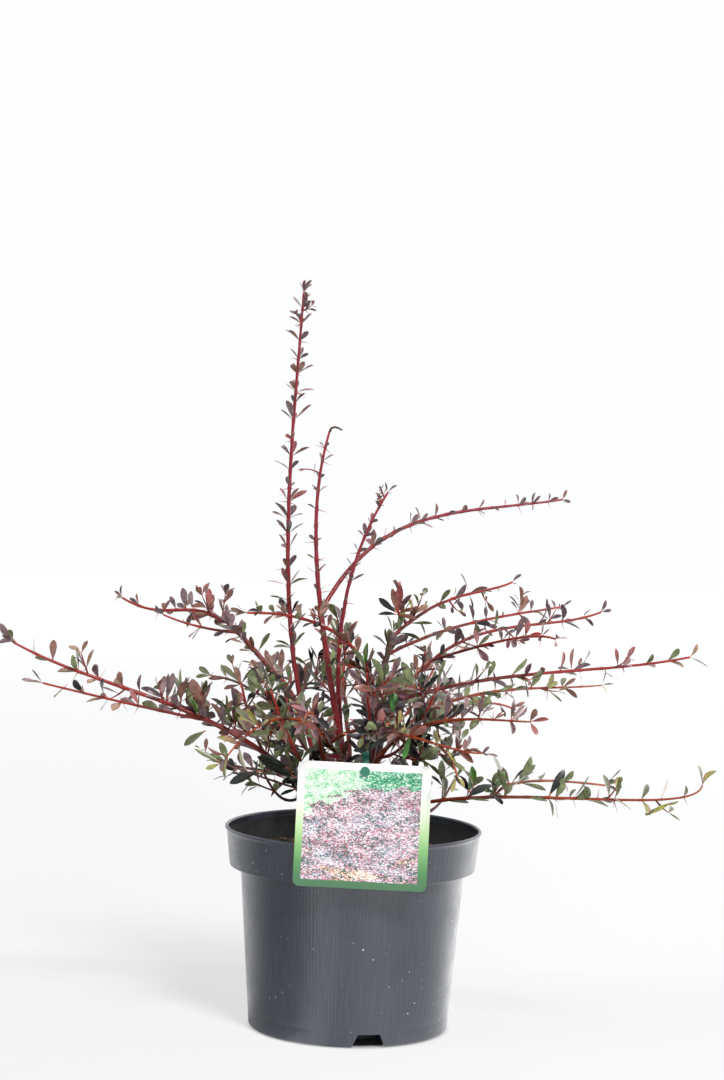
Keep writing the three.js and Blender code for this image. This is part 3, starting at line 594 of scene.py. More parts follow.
soil_finish, tree, shader = finish_of("compost", "2b211b", 0.95)
shade = mixed(tree, grain(tree, 130.0)["Value"], "1b1512", "33271f")
shade = mixed(tree, specks(tree, 420.0, 0.5, 0.22), shade, "4d3626")
tree.links.new(shade, shader.inputs["Base Color"])
roughened(tree, shader, 90.0, 0.75, 1.0, 0.0012, grain(tree, 900.0)["Height"])
soil = piece_of("compost_fill", *soil_body, [soil_finish], crease=80)
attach(soil, "root")
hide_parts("soil")


def unit(rows, least=0.0):
    """Each row brought to unit length, or divided by the least length if it is shorter."""
    return rows / np.maximum(np.linalg.norm(rows, axis=1, keepdims=True), least)


def turn_of(dice, count):
    """Random turns as count rows of three unit axes square to one another."""
    first = unit(dice.normal(size=(count, 3)))
    second = unit(np.cross(first, dice.normal(size=(count, 3))))
    return np.stack([first, second, np.cross(first, second)], 1)


def repeated(faces, copies):
    """The faces of one shape for all its copies, which are rows of corners."""
    moved = faces[None] + copies.shape[1] * np.arange(len(copies))[:, None, None]
    return moved.reshape(-1, faces.shape[1])


chip_size = CHIP_HALVES * soil_dice.uniform(0.5, 1, (CHIPS, 1, 3))
chip_size = chip_size * soil_dice.uniform(0.5, 1.4, (CHIPS, 1, 1))
chip_shape = BOX_CORNERS * chip_size * soil_dice.uniform(0.6, 1.1, (CHIPS, 8, 3))
chip_turn = turn_of(soil_dice, CHIPS)
chip_radius = np.sqrt(soil_dice.uniform(0.04, 0.92, CHIPS)) * (SOIL_EDGE_RADIUS - 2)
chip_angle = soil_dice.uniform(0, 2 * math.pi, CHIPS)
chip_place = polar(chip_radius, chip_angle, soil_height(chip_radius) + 0.6)
chip_corners = np.einsum("cki,cij->ckj", chip_shape, chip_turn) + chip_place[:, None]
chip_looks = np.repeat(soil_dice.choice(3, CHIPS, p=CHIP_SHARES), len(BOX_QUADS))
chip_finishes = []
for name, colour in CHIP_COLOURS.items():
    chip_finish, tree, shader = finish_of(name, colour, 0.9)
    roughened(tree, shader, 1500.0, 0.75, 1.0, 0.0003)
    chip_finishes.append(chip_finish)
chip_quads = repeated(BOX_QUADS, chip_corners)
chips = piece_of("bark_chips", chip_corners, chip_quads, NO_TRIANGLES, chip_finishes, chip_looks)
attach(chips, "root")

# Trunk: the short grey-brown woody foot that all canes rise from, flared at the soil, with
# cracked bark and a knuckle at its head.
TRUNK_CENTRE = np.array([-4, 0, 0])
TRUNK_SIDES = 96
TRUNK_HEIGHTS = np.concatenate([np.linspace(133, 157, 82), np.linspace(157.4, 161.5, 8)])
TRUNK_FLARE = ((133, 136.3, 140, 147, 156, 158.5, 160.6, 161.5), (15.6, 14.6, 12, 10.4, 9.4, 7.6, 4.6, 1.5))

trunk_dice = np.random.default_rng(5)
trunk_radii = np.interp(TRUNK_HEIGHTS, *TRUNK_FLARE)
around = polar(10, even_angles(TRUNK_SIDES), 0.35 * TRUNK_HEIGHTS[:, None])
bark = 0.07 * waves(around, 9, 16, trunk_dice) + 0.035 * waves(around, 3.2, 24, trunk_dice)
cracks = -0.05 * np.clip(waves(around, 4.5, 16, trunk_dice) - 0.7, 0, 1)
trunk_swell = trunk_radii[:, None] * (bark + cracks)
trunk_body = turned(np.column_stack([trunk_radii, TRUNK_HEIGHTS]), TRUNK_SIDES, trunk_swell)
trunk_finish, tree, shader = finish_of("old_wood", "5f3b2c", 0.9)
plates = grain(tree, 320.0)
shade = mixed(tree, plates["Value"], "4a3428", "7d6653")
shade = mixed(tree, grain(tree, 90.0)["Value"], shade, "5c4a3e")
tree.links.new(shade, shader.inputs["Base Color"])
roughened(tree, shader, 500.0, 0.75, 1.0, 0.0012, plates["Height"])
trunk = piece_of("woody_foot", trunk_body[0] + TRUNK_CENTRE, *trunk_body[1:], [trunk_finish], crease=80)
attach(trunk, "root")
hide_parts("trunk")

# Canes and shoots: round stems, brown and barky low down and smooth crimson to orange
# above, that swell at each leaf node. The rows have the routes of the CAD source: the foot
# or the older shoot it stands on, two points passed, the tip, the bare share, the radius at
# the foot, the leaf length, the leaves' tone and the colour of the young bark.
Shoot = namedtuple("Shoot", "name foot first second tip bare thick leaf tone bark")
SHOOTS = [Shoot(*row) for row in (
    ("tall_left", (-9, 2, 154), (-49, 18, 275), (-55, 28, 415), (-49, 32, 543),
     0.42, 2.2, 18, "wine", "crimson"),
    ("centre_upright", (-4, -3, 156), (-19, -6, 250), (-33, -9, 347), (-26, -8, 440),
     0.6, 2.9, 11, "bronze", "crimson"),
    ("right_upright", (-1, 5, 156), (-14, 10, 245), (-9, 1, 325), (18, 6, 396),
     0.52, 2.3, 12, "plum", "crimson"),
    ("high_right", ("centre_upright", 0.53), (20, 38, 363), (82, 70, 383), (154, 92, 393),
     0.24, 1.8, 11, "wine", "crimson"),
    ("arching_over", (2, -6, 155), (14, -20, 240), (-14, -38, 292), (-80, -70, 309),
     0.42, 2.2, 16, "rose", "scarlet"),
    ("upper_left", ("tall_left", 0.2), (-101, 45, 293), (-141, 69, 300), (-184, 88, 307),
     0.36, 2.1, 17, "plum", "scarlet"),
    ("long_left", (-12, -2, 151), (-90, -22, 217), (-171, -42, 251), (-248, -54, 282),
     0.37, 2.3, 21, "bronze", "scarlet"),
    ("front_left_arch", (-7, -7, 152), (-14, -38, 206), (-46, -84, 236), (-88, -127, 214),
     0.25, 2.1, 22, "rose", "orange"),
    ("low_left", (-12, 5, 149), (-42, 32, 177), (-82, 76, 179), (-118, 116, 185),
     0.3, 1.9, 20, "plum", "brown"),
    ("right_cane", (1, 6, 156), (7, 13, 200), (15, 20, 245), (25, 30, 290),
     1, 2.6, 19, "plum", "brown"),
    ("right_high", ("right_cane", 0.97), (60, 60, 311), (92, 88, 320), (118, 108, 327),
     0, 1.4, 15, "rose", "scarlet"),
    ("right_back", ("right_cane", 0.88), (70, 68, 292), (118, 112, 301), (160, 150, 306),
     0, 1.4, 15, "plum", "scarlet"),
    ("low_cane", (5, 1, 152), (8, -3, 186), (16, -5, 222), (36, -4, 249),
     1, 2.3, 19, "plum", "brown"),
    ("right_forked", ("low_cane", 0.98), (80, 8, 289), (132, 16, 301), (180, 23, 311),
     0, 1.4, 15, "wine", "scarlet"),
    ("right_long", ("low_cane", 0.9), (104, -6, 262), (174, -9, 271), (243, -12, 282),
     0, 1.5, 20, "bronze", "scarlet"),
    ("right_low", (5, 4, 151), (44, 12, 228), (118, 64, 247), (190, 101, 249),
     0.35, 2, 18, "olive", "orange"),
    ("front_right", (3, -6, 150), (27, -34, 216), (74, -84, 239), (119, -132, 244),
     0.34, 2, 19, "plum", "orange"),
    ("front_right_arch", ("front_left_arch", 0.4), (14, -76, 229), (52, -108, 225), (86, -138, 222),
     0.4, 1.6, 18, "rose", "orange"),
    ("low_right", (7, -2, 147), (87, -42, 178), (191, -74, 184), (245, -88, 198),
     0.3, 1.6, 23, "olive", "orange"),
    ("back_left", (-8, 7, 152), (-36, 62, 213), (-62, 130, 246), (-86, 194, 250),
     0.34, 2.1, 19, "bronze", "scarlet"),
    ("back_centre", (-3, 9, 154), (-8, 66, 225), (-16, 144, 256), (-22, 216, 248),
     0.34, 2.1, 19, "plum", "scarlet"),
    ("back_right", (2, 8, 150), (22, 60, 213), (44, 132, 249), (64, 202, 255),
     0.34, 2.1, 19, "wine", "orange"),
    ("back_far_left", ("back_left", 0.3), (-66, 92, 228), (-92, 118, 240), (-116, 136, 244),
     0, 1.4, 18, "olive", "brown"),
    ("back_far_right", ("back_right", 0.3), (54, 92, 222), (92, 136, 228), (124, 172, 222),
     0, 1.4, 18, "bronze", "scarlet"),
    ("front_low", (-8, -6, 149), (-22, -46, 200), (-30, -98, 238), (-36, -150, 241),
     0.36, 2, 18, "wine", "orange"),
)]
# A fork's row has the shoot, the share where it leaves it, a point passed and the tip. A
# tuft's has its name, the shoot it stands on, the share, the tip and the leaves' tone.
FORKS = [
    ("upper_left", 0.27, (-122, 43, 290), (-148, 42, 298)),
    ("long_left", 0.41, (-157, -56, 239), (-222, -84, 256)),
    ("right_high", 0.1, (31, 34, 308), (28, 32, 322)),
    ("right_forked", 0.16, (107, -74, 296), (136, -112, 300)),
    ("front_right_arch", 0.72, (66, -118, 214), (70, -124, 205)),
    ("low_right", 0.38, (124, -36, 190), (182, -29, 188)),
]
TUFTS = [
    ("inner_left", "long_left", 0.2, (-86, -4, 252), "plum"),
    ("inner_front_left", "front_low", 0.16, (-62, -52, 252), "olive"),
    ("inner_front", "arching_over", 0.22, (6, -66, 268), "plum"),
    ("inner_front_right", "front_right", 0.24, (58, -46, 258), "olive"),
    ("inner_right", "right_low", 0.26, (72, 36, 214), "bronze"),
    ("inner_back_left", "tall_left", 0.14, (-58, 62, 250), "bronze"),
    ("inner_back", "right_upright", 0.3, (-10, 72, 284), "olive"),
    ("inner_back_right", "right_cane", 0.42, (58, 66, 262), "plum"),
    ("inner_low_left", "long_left", 0.1, (-66, -46, 192), "olive"),
    ("inner_low_right", "low_right", 0.16, (74, 8, 184), "olive"),
]
UPRIGHTS = ("tall_left", "centre_upright", "right_upright", "high_right")
SPARSE = ("right_high", "right_back", "right_forked", "right_long", "low_right", "low_left")
LEAFY = ("arching_over", "front_left_arch")
NODE_SPACINGS = dict.fromkeys(UPRIGHTS, 12) | dict.fromkeys(LEAFY, 11)
NODE_CROWDS = dict.fromkeys(SPARSE, (1, 3)) | dict.fromkeys(LEAFY, (3, 5)) | {"tall_left": (2, 5)}
USUAL_SPACING = 16
USUAL_CROWD = (1, 4)
THIN_CROWD = (1, 3)
LOW_CROWD = (1, 2)
CANE_CROWD = (3, 5)
CANE_NODES = (30, 12)         # first node and spacing
FORK_NODES = (10, 15)
TUFT_NODES = (8, 15)
NODE_JITTER = 0.15
FIRST_NODE = 6
UPRIGHT_BARE = 0.3
LEAVES_EARLY = 8
SHOOT_THORN = 6
LESSER_THORN = 5
TWIG_THORN = 4
TIP_RADIUS = 0.85
ORANGE_TIP_RADIUS = 0.6
CANE_TAPER = 0.8
FORK_RADII = (1.2, 0.75)
TUFT_THICK = 1.3
TUFT_LEAF = 26
LOW_TUFT_LEAF = 19
TUFT_BOW = np.array([0, 0, 12])
TUFT_TWIGS = 3
TUFT_TWIG_LENGTH = 32
TWIG_RADII = (0.75, 0.4)
TWIG_LEANS = (46, 64)
TWIG_RISE = 0.18
SPUR_SPACING = 46
SPUR_LENGTH = 15
SPUR_LEAF = 0.8
SPURS_END = 0.82
TUFT_TWIG_LEAF = 0.9
TUFT_TWIGS_SPAN = (0.1, 0.97)
FINER_SPAN = (0.3, 0.97)
FINER_LENGTH = 0.4
FINER_LEAF = 0.85
GOLDEN_ANGLE = math.radians(137.5)
STEM_SIDES = 10
TWIG_SIDES = 6
STEM_STEP = 2.5
NODE_SWELL = 0.22
NODE_SWELL_LENGTH = 1.6
ZIGZAG = 0.25
TWIG_RADIUS_BELOW = 1.2
BARK_BANDS = 2.2
BAND_JITTER = 4
BARK_RELIEF = 0.03
ZIGZAG_START = 20
OLD_WOOD_LENGTH = 45
LOWEST_TWIG = 168


def cubic(*points):
    """Control points of a cubic Bezier curve as rows."""
    return np.stack([np.array(point, float) for point in points])


def route_through(*places):
    """Control points of the cubic that passes two points at a third and two thirds."""
    start, first, second, end = cubic(*places)
    leave = -5 / 6 * start + 3 * first - 1.5 * second + end / 3
    arrive = -5 / 6 * end + 3 * second - 1.5 * first + start / 3
    return cubic(start, leave, arrive, end)


def bent_route(*places):
    """Control points of the cubic that equals a quadratic Bezier curve."""
    start, middle, end = cubic(*places)
    return cubic(start, start + 2 / 3 * (middle - start), end + 2 / 3 * (middle - end), end)


def route_point(route, share):
    """Points of a cubic Bezier curve: its control points weighted by Bernstein's terms."""
    t = np.atleast_1d(share)[:, None]
    weights = np.concatenate([(1 - t) ** 3, 3 * t * (1 - t) ** 2, 3 * t**2 * (1 - t), t**3], -1)
    return weights @ route


def route_way(route, share):
    """Unit tangents of a cubic Bezier curve."""
    t = np.atleast_1d(share)[:, None]
    return unit(np.concatenate([(1 - t) ** 2, 2 * t * (1 - t), t**2], -1) @ np.diff(route, axis=0))


def travel_along(points):
    """Distance along a line of points up to each of them."""
    steps = np.linalg.norm(np.diff(points, axis=0), axis=1)
    return np.concatenate([[0], np.cumsum(steps)])


def share_at(route, distance):
    """Share of a route at each distance along it, worked out in fine steps."""
    shares = np.linspace(0, 1, 201)
    return np.interp(distance, travel_along(route_point(route, shares)), shares)


def length_of(route):
    """Length of a route."""
    return travel_along(route_point(route, np.linspace(0, 1, 201)))[-1]


def round_ways(side, other, sides):
    """Ways round each ring in even steps, from one unit way square to the stem toward the
    other."""
    angle = even_angles(sides)[None, :, None]
    return side[:, None] * np.cos(angle) + other[:, None] * np.sin(angle)


def rod_along(points, radii, sides, relief, dice):
    """A round rod along a path: each ring lies square to the path, from a side way that is
    square to the plane of the path, and its radius varies by a relief that runs along the
    rod. A pole a little beyond closes each end."""
    ways = unit(np.gradient(points, axis=0))
    chord = points[-1] - points[0]
    plane = np.cross(points[len(points) // 2] - points[0], chord)
    if np.linalg.norm(plane) < 0.02 * np.linalg.norm(chord) ** 2:
        plane = np.cross(chord, (0.3, 0.5, 0.2))
    side = unit(plane - (ways @ plane)[:, None] * ways)
    spot = polar(2, even_angles(sides), 0.25 * travel_along(points)[:, None])
    radius = radii[:, None] * (1 + relief * waves(spot, 2.2, 12, dice))
    rings = points[:, None] + radius[..., None] * round_ways(side, np.cross(ways, side), sides)
    return tube_of(rings, points[0] - ways[0] * radii[0] * 0.3, points[-1] + ways[-1] * radii[-1] * 0.6)


def leaning(ways, turns, leans):
    """Directions that lean away from a stem: an outward way, square to the stem and turned
    about it, by the sine of the lean, plus the stem's way by its cosine."""
    reference = np.where(np.abs(ways[:, 2:]) < 0.9, [[0.0, 0, 1]], [[1.0, 0, 0]])
    outward = unit(reference - (reference * ways).sum(1, keepdims=True) * ways)
    outward = outward * np.cos(turns)[:, None] + np.cross(ways, outward) * np.sin(turns)[:, None]
    return outward * np.sin(leans)[:, None] + ways * np.cos(leans)[:, None]


# Every stem is kept as its route, radii, bark, owner and the row of its leaf nodes, so that
# leaves and thorns can be set on it further down.
shoot_dice = np.random.default_rng(20)
routes = {}
stems = []


def on_route(name, share):
    """The point at that share of a shoot or tuft."""
    return route_point(routes[name], share)[0]


def add_stem(owner, route, radii, bark, first, spacing, leaf, crowd, thorn, old=0.0):
    """Keeps a stem with nodes from the first distance to its tip. leaf is the length of its
    largest leaves, crowd how many there are at a node, thorn the length of its thorns and
    old the length of brown old wood at its foot."""
    length = length_of(route)
    count = max(1, round((length - first) / spacing))
    place = np.arange(count) + NODE_JITTER * shoot_dice.uniform(-1, 1, count)
    nodes = first + (length - first) * place / count
    stems.append({
        "owner": owner, "route": route, "radii": radii, "bark": bark, "nodes": np.clip(nodes, 0, length),
        "length": length, "leaf": leaf, "crowd": crowd, "thorn": thorn, "old": old,
    })


def add_side_twigs(owner, route, shares, count, length, leaf, bark, crowd, finer=False):
    """Side twigs at even steps between two shares of a stem, each leaning well away from it,
    rising a little, and never reaching down to the pot. If told they carry finer twigs."""
    for twig in range(count):
        share = shares[0] + (twig + 0.5) / count * (shares[1] - shares[0])
        point = route_point(route, share)[0]
        turn = shoot_dice.uniform(0, 2 * math.pi, 1)
        way = leaning(route_way(route, share), turn, np.radians(shoot_dice.uniform(*TWIG_LEANS, 1)))[0]
        reach = length * shoot_dice.uniform(0.6, 1.2)
        if point[2] + way[2] * reach < LOWEST_TWIG:
            way[2] = abs(way[2])
        end = point + way * reach + np.array([0, 0, TWIG_RISE * reach])
        twig_route = bent_route(point, point + way * 0.55 * reach, end)
        add_stem(owner, twig_route, TWIG_RADII, bark, 0.35 * reach, 8, leaf, crowd, TWIG_THORN)
        if finer:
            finest = (FINER_LENGTH * reach, FINER_LEAF * leaf)
            add_side_twigs(owner, twig_route, FINER_SPAN, 2, *finest, bark, crowd)


for row in SHOOTS:
    grafted = isinstance(row.foot[0], str)
    start = on_route(*row.foot) if grafted else row.foot
    route = route_through(start, row.first, row.second, row.tip)
    routes[row.name] = route
    length = length_of(route)
    if row.bare == 1:
        radii = (row.thick, CANE_TAPER * row.thick)
        add_stem(row.name, route, radii, row.bark, *CANE_NODES, row.leaf, CANE_CROWD, LESSER_THORN, length)
        continue
    upright = row.name in UPRIGHTS
    old = 0 if grafted and row.name != "upper_left" else OLD_WOOD_LENGTH
    leafless = UPRIGHT_BARE * length if upright else row.bare * length - LEAVES_EARLY
    first_node = max(leafless, FIRST_NODE)
    crowd = NODE_CROWDS.get(row.name, USUAL_CROWD)
    spacing = NODE_SPACINGS.get(row.name, USUAL_SPACING)
    radii = (row.thick, ORANGE_TIP_RADIUS if row.bark == "orange" else TIP_RADIUS)
    add_stem(row.name, route, radii, row.bark, first_node, spacing, row.leaf, crowd, SHOOT_THORN, old)
    if not upright:
        twigs = round(length * (1 - row.bare) / SPUR_SPACING)
        spurs = ((row.bare, SPURS_END), twigs, SPUR_LENGTH, SPUR_LEAF * row.leaf)
        add_side_twigs(row.name, route, *spurs, row.bark, THIN_CROWD)

shoot_of = {row.name: row for row in SHOOTS}
for name, at, middle, tip in FORKS:
    start = on_route(name, at)
    control = 2 * np.array(middle) - 0.5 * start - 0.5 * np.array(tip)
    owner = shoot_of[name]
    route = bent_route(start, control, tip)
    add_stem(name, route, FORK_RADII, owner.bark, *FORK_NODES, 0.9 * owner.leaf, USUAL_CROWD, LESSER_THORN)

for name, on, at, tip, tone in TUFTS:
    foot = on_route(on, at)
    first, second = (foot + (np.array(tip) - foot) * thirds / 3 - TUFT_BOW for thirds in (1, 2))
    routes[name] = route_through(foot, first, second, tip)
    low = "_low_" in name
    bark = "brown" if low else "scarlet"
    leaf = LOW_TUFT_LEAF if low else TUFT_LEAF
    twigs = 2 if low else TUFT_TWIGS
    crowd = LOW_CROWD if low else THIN_CROWD
    add_stem(name, routes[name], (TUFT_THICK, TIP_RADIUS), bark, *TUFT_NODES, leaf, crowd, LESSER_THORN)
    fine_twigs = (TUFT_TWIGS_SPAN, twigs, TUFT_TWIG_LENGTH, TUFT_TWIG_LEAF * leaf)
    add_side_twigs(name, routes[name], *fine_twigs, bark, THIN_CROWD, not low)


def add_twig(owner, start, middle, tip, *rest):
    """A single bent twig from a point, or from a share of another shoot."""
    start = on_route(*start) if isinstance(start[0], str) else start
    add_stem(owner, bent_route(start, middle, tip), *rest)


# Details of the crown: a crowded stretch of broad leaves on the long left shoot, two knots
# of leaves and a dark twig low down, short leaf clusters on the upper left shoot and at the
# heads of two uprights, a thin side twig and a dry hooked tip on the middle one, the head of
# the right cane, and a leafy twig in front of the strap.
for share in np.linspace(0.35, 0.53, 6):
    knot = on_route("long_left", share)
    knot_tip = knot + shoot_dice.uniform((-7, -9, 7), (7, 9, 13))
    knot_middle = (knot + knot_tip) / 2 - np.array([0, 0, 1.5])
    add_twig("long_left", knot, knot_middle, knot_tip, TWIG_RADII, "brown", 4, 6, 24, (2, 4), 3)
for share in (0.32, 0.4):
    knot = on_route("low_right", share)
    knot_ends = (knot + np.array([1, -3, 4]), knot + np.array([3, -4, 9]))
    add_twig("low_right", knot, *knot_ends, TWIG_RADII, "brown", 4, 8, 26, (1, 3), 3)
add_twig(
    "inner_low_left", ("front_left_arch", 0.1), (-42, -62, 182), (-96, -70, 202),
    (1.1, 0.6), "brown", 30, 20, 0, (0, 0), 5,
)
for name, shares, count, length, leaf, bark, crowd in (
    ("upper_left", (0.08, 0.45), 6, 16, 16, "brown", (1, 4)),
    ("tall_left", (0.93, 0.99), 3, 6, 8, "crimson", (3, 4)),
    ("right_upright", (0.93, 0.99), 3, 5, 7, "crimson", (3, 4)),
):
    add_side_twigs(name, routes[name], shares, count, length, leaf, bark, crowd)
for twig in (
    ("centre_upright", ("centre_upright", 0.885), (-39, -9, 413), (-48, -9, 411),
     (0.6, 0.35), "crimson", 5, 7, 7, (1, 2), 3),
    ("right_cane", ("right_high", 0.06), (31, 34, 300), (28, 32, 309),
     (1.1, 0.8), "scarlet", 9, 5, 0, (0, 0), 3),
    ("centre_upright", (-26, -8, 439.5), (-25, -8, 446), (-17, -8, 441),
     (1.0, 0.6), "brown", 2, 3, 0, (0, 0), 3, 10),
    ("inner_front", ("front_right_arch", 0.5), (16, -92, 233), (5, -97, 227),
     (0.7, 0.4), "brown", 3, 4, 15, (2, 3), 3),
):
    add_twig(*twig)

BARK_COLOURS = {              # from the stem's foot to its tip
    "crimson": ("70141a", "761424", "841d2f"),
    "scarlet": ("60150f", "811710", "8f2217"),
    "orange": ("64260f", "833314", "964421"),
    "brown": ("3f2923", "4e2d26", "5f382e"),
}


def bark_finish(name, colour, roughness, relief):
    """Smooth waxy bark with fine pores: a plain colour with grain in its gloss and height."""
    finish, tree, shader = finish_of(name, colour, roughness, Specular_IOR_Level=0.3)
    roughened(tree, shader, 1400.0, roughness - 0.12, roughness + 0.12, relief)
    return finish


def stem_rod(stem):
    """A stem's rod, which swells and turns a little at each node, and the place of each of
    its faces in the finishes: old wood at the foot, then three bands of young bark."""
    count = max(4, round(stem["length"] / STEM_STEP))
    distance = np.linspace(0, stem["length"], count)
    share = share_at(stem["route"], distance)
    radii = np.interp(share, [0, 1], stem["radii"])
    gap = np.abs(distance[:, None] - stem["nodes"][None, :]).min(1)
    swelling = 1 + NODE_SWELL * np.exp(-((gap / NODE_SWELL_LENGTH) ** 2))
    zigzag = ZIGZAG * radii * np.cos(np.searchsorted(stem["nodes"], distance) * math.pi)
    smooth = np.convolve(np.pad(zigzag, 2, mode="edge"), np.ones(5) / 5, mode="valid")
    sideways = unit(np.cross(route_way(stem["route"], share), (0, 0, 1)), 0.2)
    points = route_point(stem["route"], share)
    points = points + sideways * smooth[:, None] * np.minimum(distance / ZIGZAG_START, 1)[:, None]
    sides = STEM_SIDES if stem["radii"][0] > TWIG_RADIUS_BELOW else TWIG_SIDES
    rod = rod_along(points, radii * swelling, sides, BARK_RELIEF, shoot_dice)
    middle = distance[:-1] + shoot_dice.uniform(-BAND_JITTER, BAND_JITTER, count - 1)
    young = np.clip((middle - stem["old"]) / max(stem["length"] - stem["old"], 1), 0, 0.999)
    band = np.where(middle < stem["old"], 0, 1 + (young * BARK_BANDS).astype(int).clip(0, 2))
    return rod, (np.repeat(band, sides), np.repeat(band[[0, -1]], sides))


old_cane = bark_finish("old_cane", "45322a", 0.8, 0.0005)
for bark_name, colours in BARK_COLOURS.items():
    finishes = [old_cane] + [
        bark_finish(f"{bark_name}_bark_{i}", colour, 0.36, 0.00012) for i, colour in enumerate(colours)
    ]
    parts, looks = zip(*[stem_rod(stem) for stem in stems if stem["bark"] == bark_name])
    quad_looks, triangle_looks = zip(*looks)
    all_looks = np.concatenate([*quad_looks, *triangle_looks])
    shoots = piece_of(f"stems_{bark_name}", *joined(parts), finishes, all_looks, crease=70)
    limbs = [f"limb_{row.name}" for row in SHOOTS if row.bark == bark_name and row.bare > 0]
    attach(shoots, "root")
    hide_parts(*limbs)

# Leaves: small spoon-shaped blades in rosettes, plum, bronze, rose, olive or wine above and
# paler below, creased along the middle and narrowed to a short stalk. Each piece holds the
# leaves of all masses of one tone, and each rosette is dealt one tint of that tone's mix.
# Near-black tints dealt near the heart and low down are painted shade of the crown's inside.
# The two near-black tints, the darkest plum and the darkest green, are painted shade for leaves deep in the
# crown and low down.
LEAF_TINTS = {                # colour, roughness and how much of the full gloss
    "black_plum": ("160f13", 0.32, 0.3),
    "plum": ("4c3539", 0.32, 0.8),
    "dusk": ("7e6466", 0.36, 1.0),
    "bronze": ("684234", 0.32, 0.9),
    "tan": ("98806a", 0.4, 1.0),
    "rose": ("8c504e", 0.34, 1.0),
    "red": ("922f32", 0.34, 1.0),
    "wine": ("561e2b", 0.3, 0.8),
    "olive": ("505836", 0.32, 0.9),
    "black_green": ("0e150d", 0.3, 0.3),
    "green": ("3f6128", 0.32, 0.8),
    "bright_green": ("44703a", 0.4, 0.4),
    "yellow_green": ("8e9052", 0.4, 1.0),
    "pale_plum": ("7c6b6e", 0.55, 0.4),
    "pale_green": ("868f6e", 0.55, 0.4),
    "pale_rose": ("96766d", 0.55, 0.4),
    "stalk": ("9c4a2c", 0.4, 0.8),
}
# The mixes near the heart are mostly the near-black tints: painted shade of the crown's inside.
MIXES = {                     # for each tone the tints near the heart, further out and outermost
    "plum": (
        {"black_plum": 0.45, "black_green": 0.35, "plum": 0.12, "olive": 0.08},
        {"plum": 0.3, "dusk": 0.12, "black_plum": 0.2, "bronze": 0.16, "olive": 0.22},
        {"plum": 0.22, "dusk": 0.24, "rose": 0.2, "bronze": 0.22, "black_plum": 0.12},
    ),
    "bronze": (
        {"black_green": 0.5, "olive": 0.15, "bronze": 0.1, "black_plum": 0.25},
        {"bronze": 0.18, "olive": 0.34, "plum": 0.16, "dusk": 0.14, "rose": 0.1, "green": 0.08},
        {"tan": 0.3, "dusk": 0.26, "plum": 0.1, "rose": 0.08, "olive": 0.2, "black_plum": 0.06},
    ),
    "rose": (
        {"bronze": 0.2, "black_plum": 0.4, "olive": 0.25, "green": 0.15},
        {"rose": 0.1, "tan": 0.16, "bronze": 0.12, "olive": 0.26, "yellow_green": 0.24, "black_green": 0.12},
        {"tan": 0.25, "rose": 0.14, "dusk": 0.2, "yellow_green": 0.28, "plum": 0.13},
    ),
    "olive": (
        {"black_green": 0.65, "olive": 0.15, "black_plum": 0.15, "green": 0.05},
        {"olive": 0.42, "green": 0.1, "black_green": 0.34, "dusk": 0.14},
        {"yellow_green": 0.54, "tan": 0.2, "olive": 0.12, "black_green": 0.14},
    ),
    "wine": (
        {"black_plum": 0.45, "wine": 0.2, "black_green": 0.35},
        {"wine": 0.15, "plum": 0.35, "bronze": 0.12, "black_plum": 0.16, "rose": 0.1, "olive": 0.12},
        {"rose": 0.25, "plum": 0.28, "dusk": 0.25, "wine": 0.12, "red": 0.1},
    ),
}
UNDERSIDES = {
    name: underside
    for underside, names in (
        ("pale_plum", ("black_plum", "plum", "dusk", "wine")),
        ("pale_rose", ("bronze", "tan", "rose", "red")),
        ("pale_green", ("olive", "black_green", "green", "bright_green", "yellow_green")),
    )
    for name in names
}
MARGINS = {"plum": "rose", "bronze": "rose", "olive": "bronze", "yellow_green": "rose", "tan": "rose"}
HEART = np.array([-4, 0, 205])
MIX_REACHES = (72, 140)       # the inner mix ends and the outer mix starts so far from the heart
SHADE_BELOW = 1.6
LEAF_ASPECTS = (0.24, 0.41)
LEAF_BREADTHS = {
    **dict.fromkeys((*UPRIGHTS[:3], "inner_low_left"), 0.9), "long_left": 1.2, "front_left_arch": 1.25,
    **dict.fromkeys(("upper_left", "arching_over", "low_right"), 1.15),
}
LEAF_STANDS = {               # how far leaves rise, how much their faces turn, the smallest size
    **dict.fromkeys(UPRIGHTS[:3], ((-0.1, 0.5), 0.35, 0.55)),
    "inner": ((-0.4, 0.5), 0.5, 0.75),
    "other": ((0.0, 0.9), 0.5, 0.66),
}
DRY_TIPPED = "centre_upright"
ASPECT_LENGTH = 16
LEAF_THICKNESS = 0.3
LEAF_MOTTLE = (0.4, 1.1)
BLADE_FOLDS = (0.1, 0.55)
BLADE_BENDS = (-0.3, 0.12)
BLADE_SWAYS = (-0.12, 0.12)
BLADE_TWISTS = (-0.6, 0.6)
TIP_LEANS = (15, 60)
ROSETTE_LEANS = (38, 74)
TIP_RISE = 0.2
TIP_VIGOUR = 0.5
VIGOUR_POWER = 1.2
TURN_JITTER = 0.5
LARGEST = 1.05
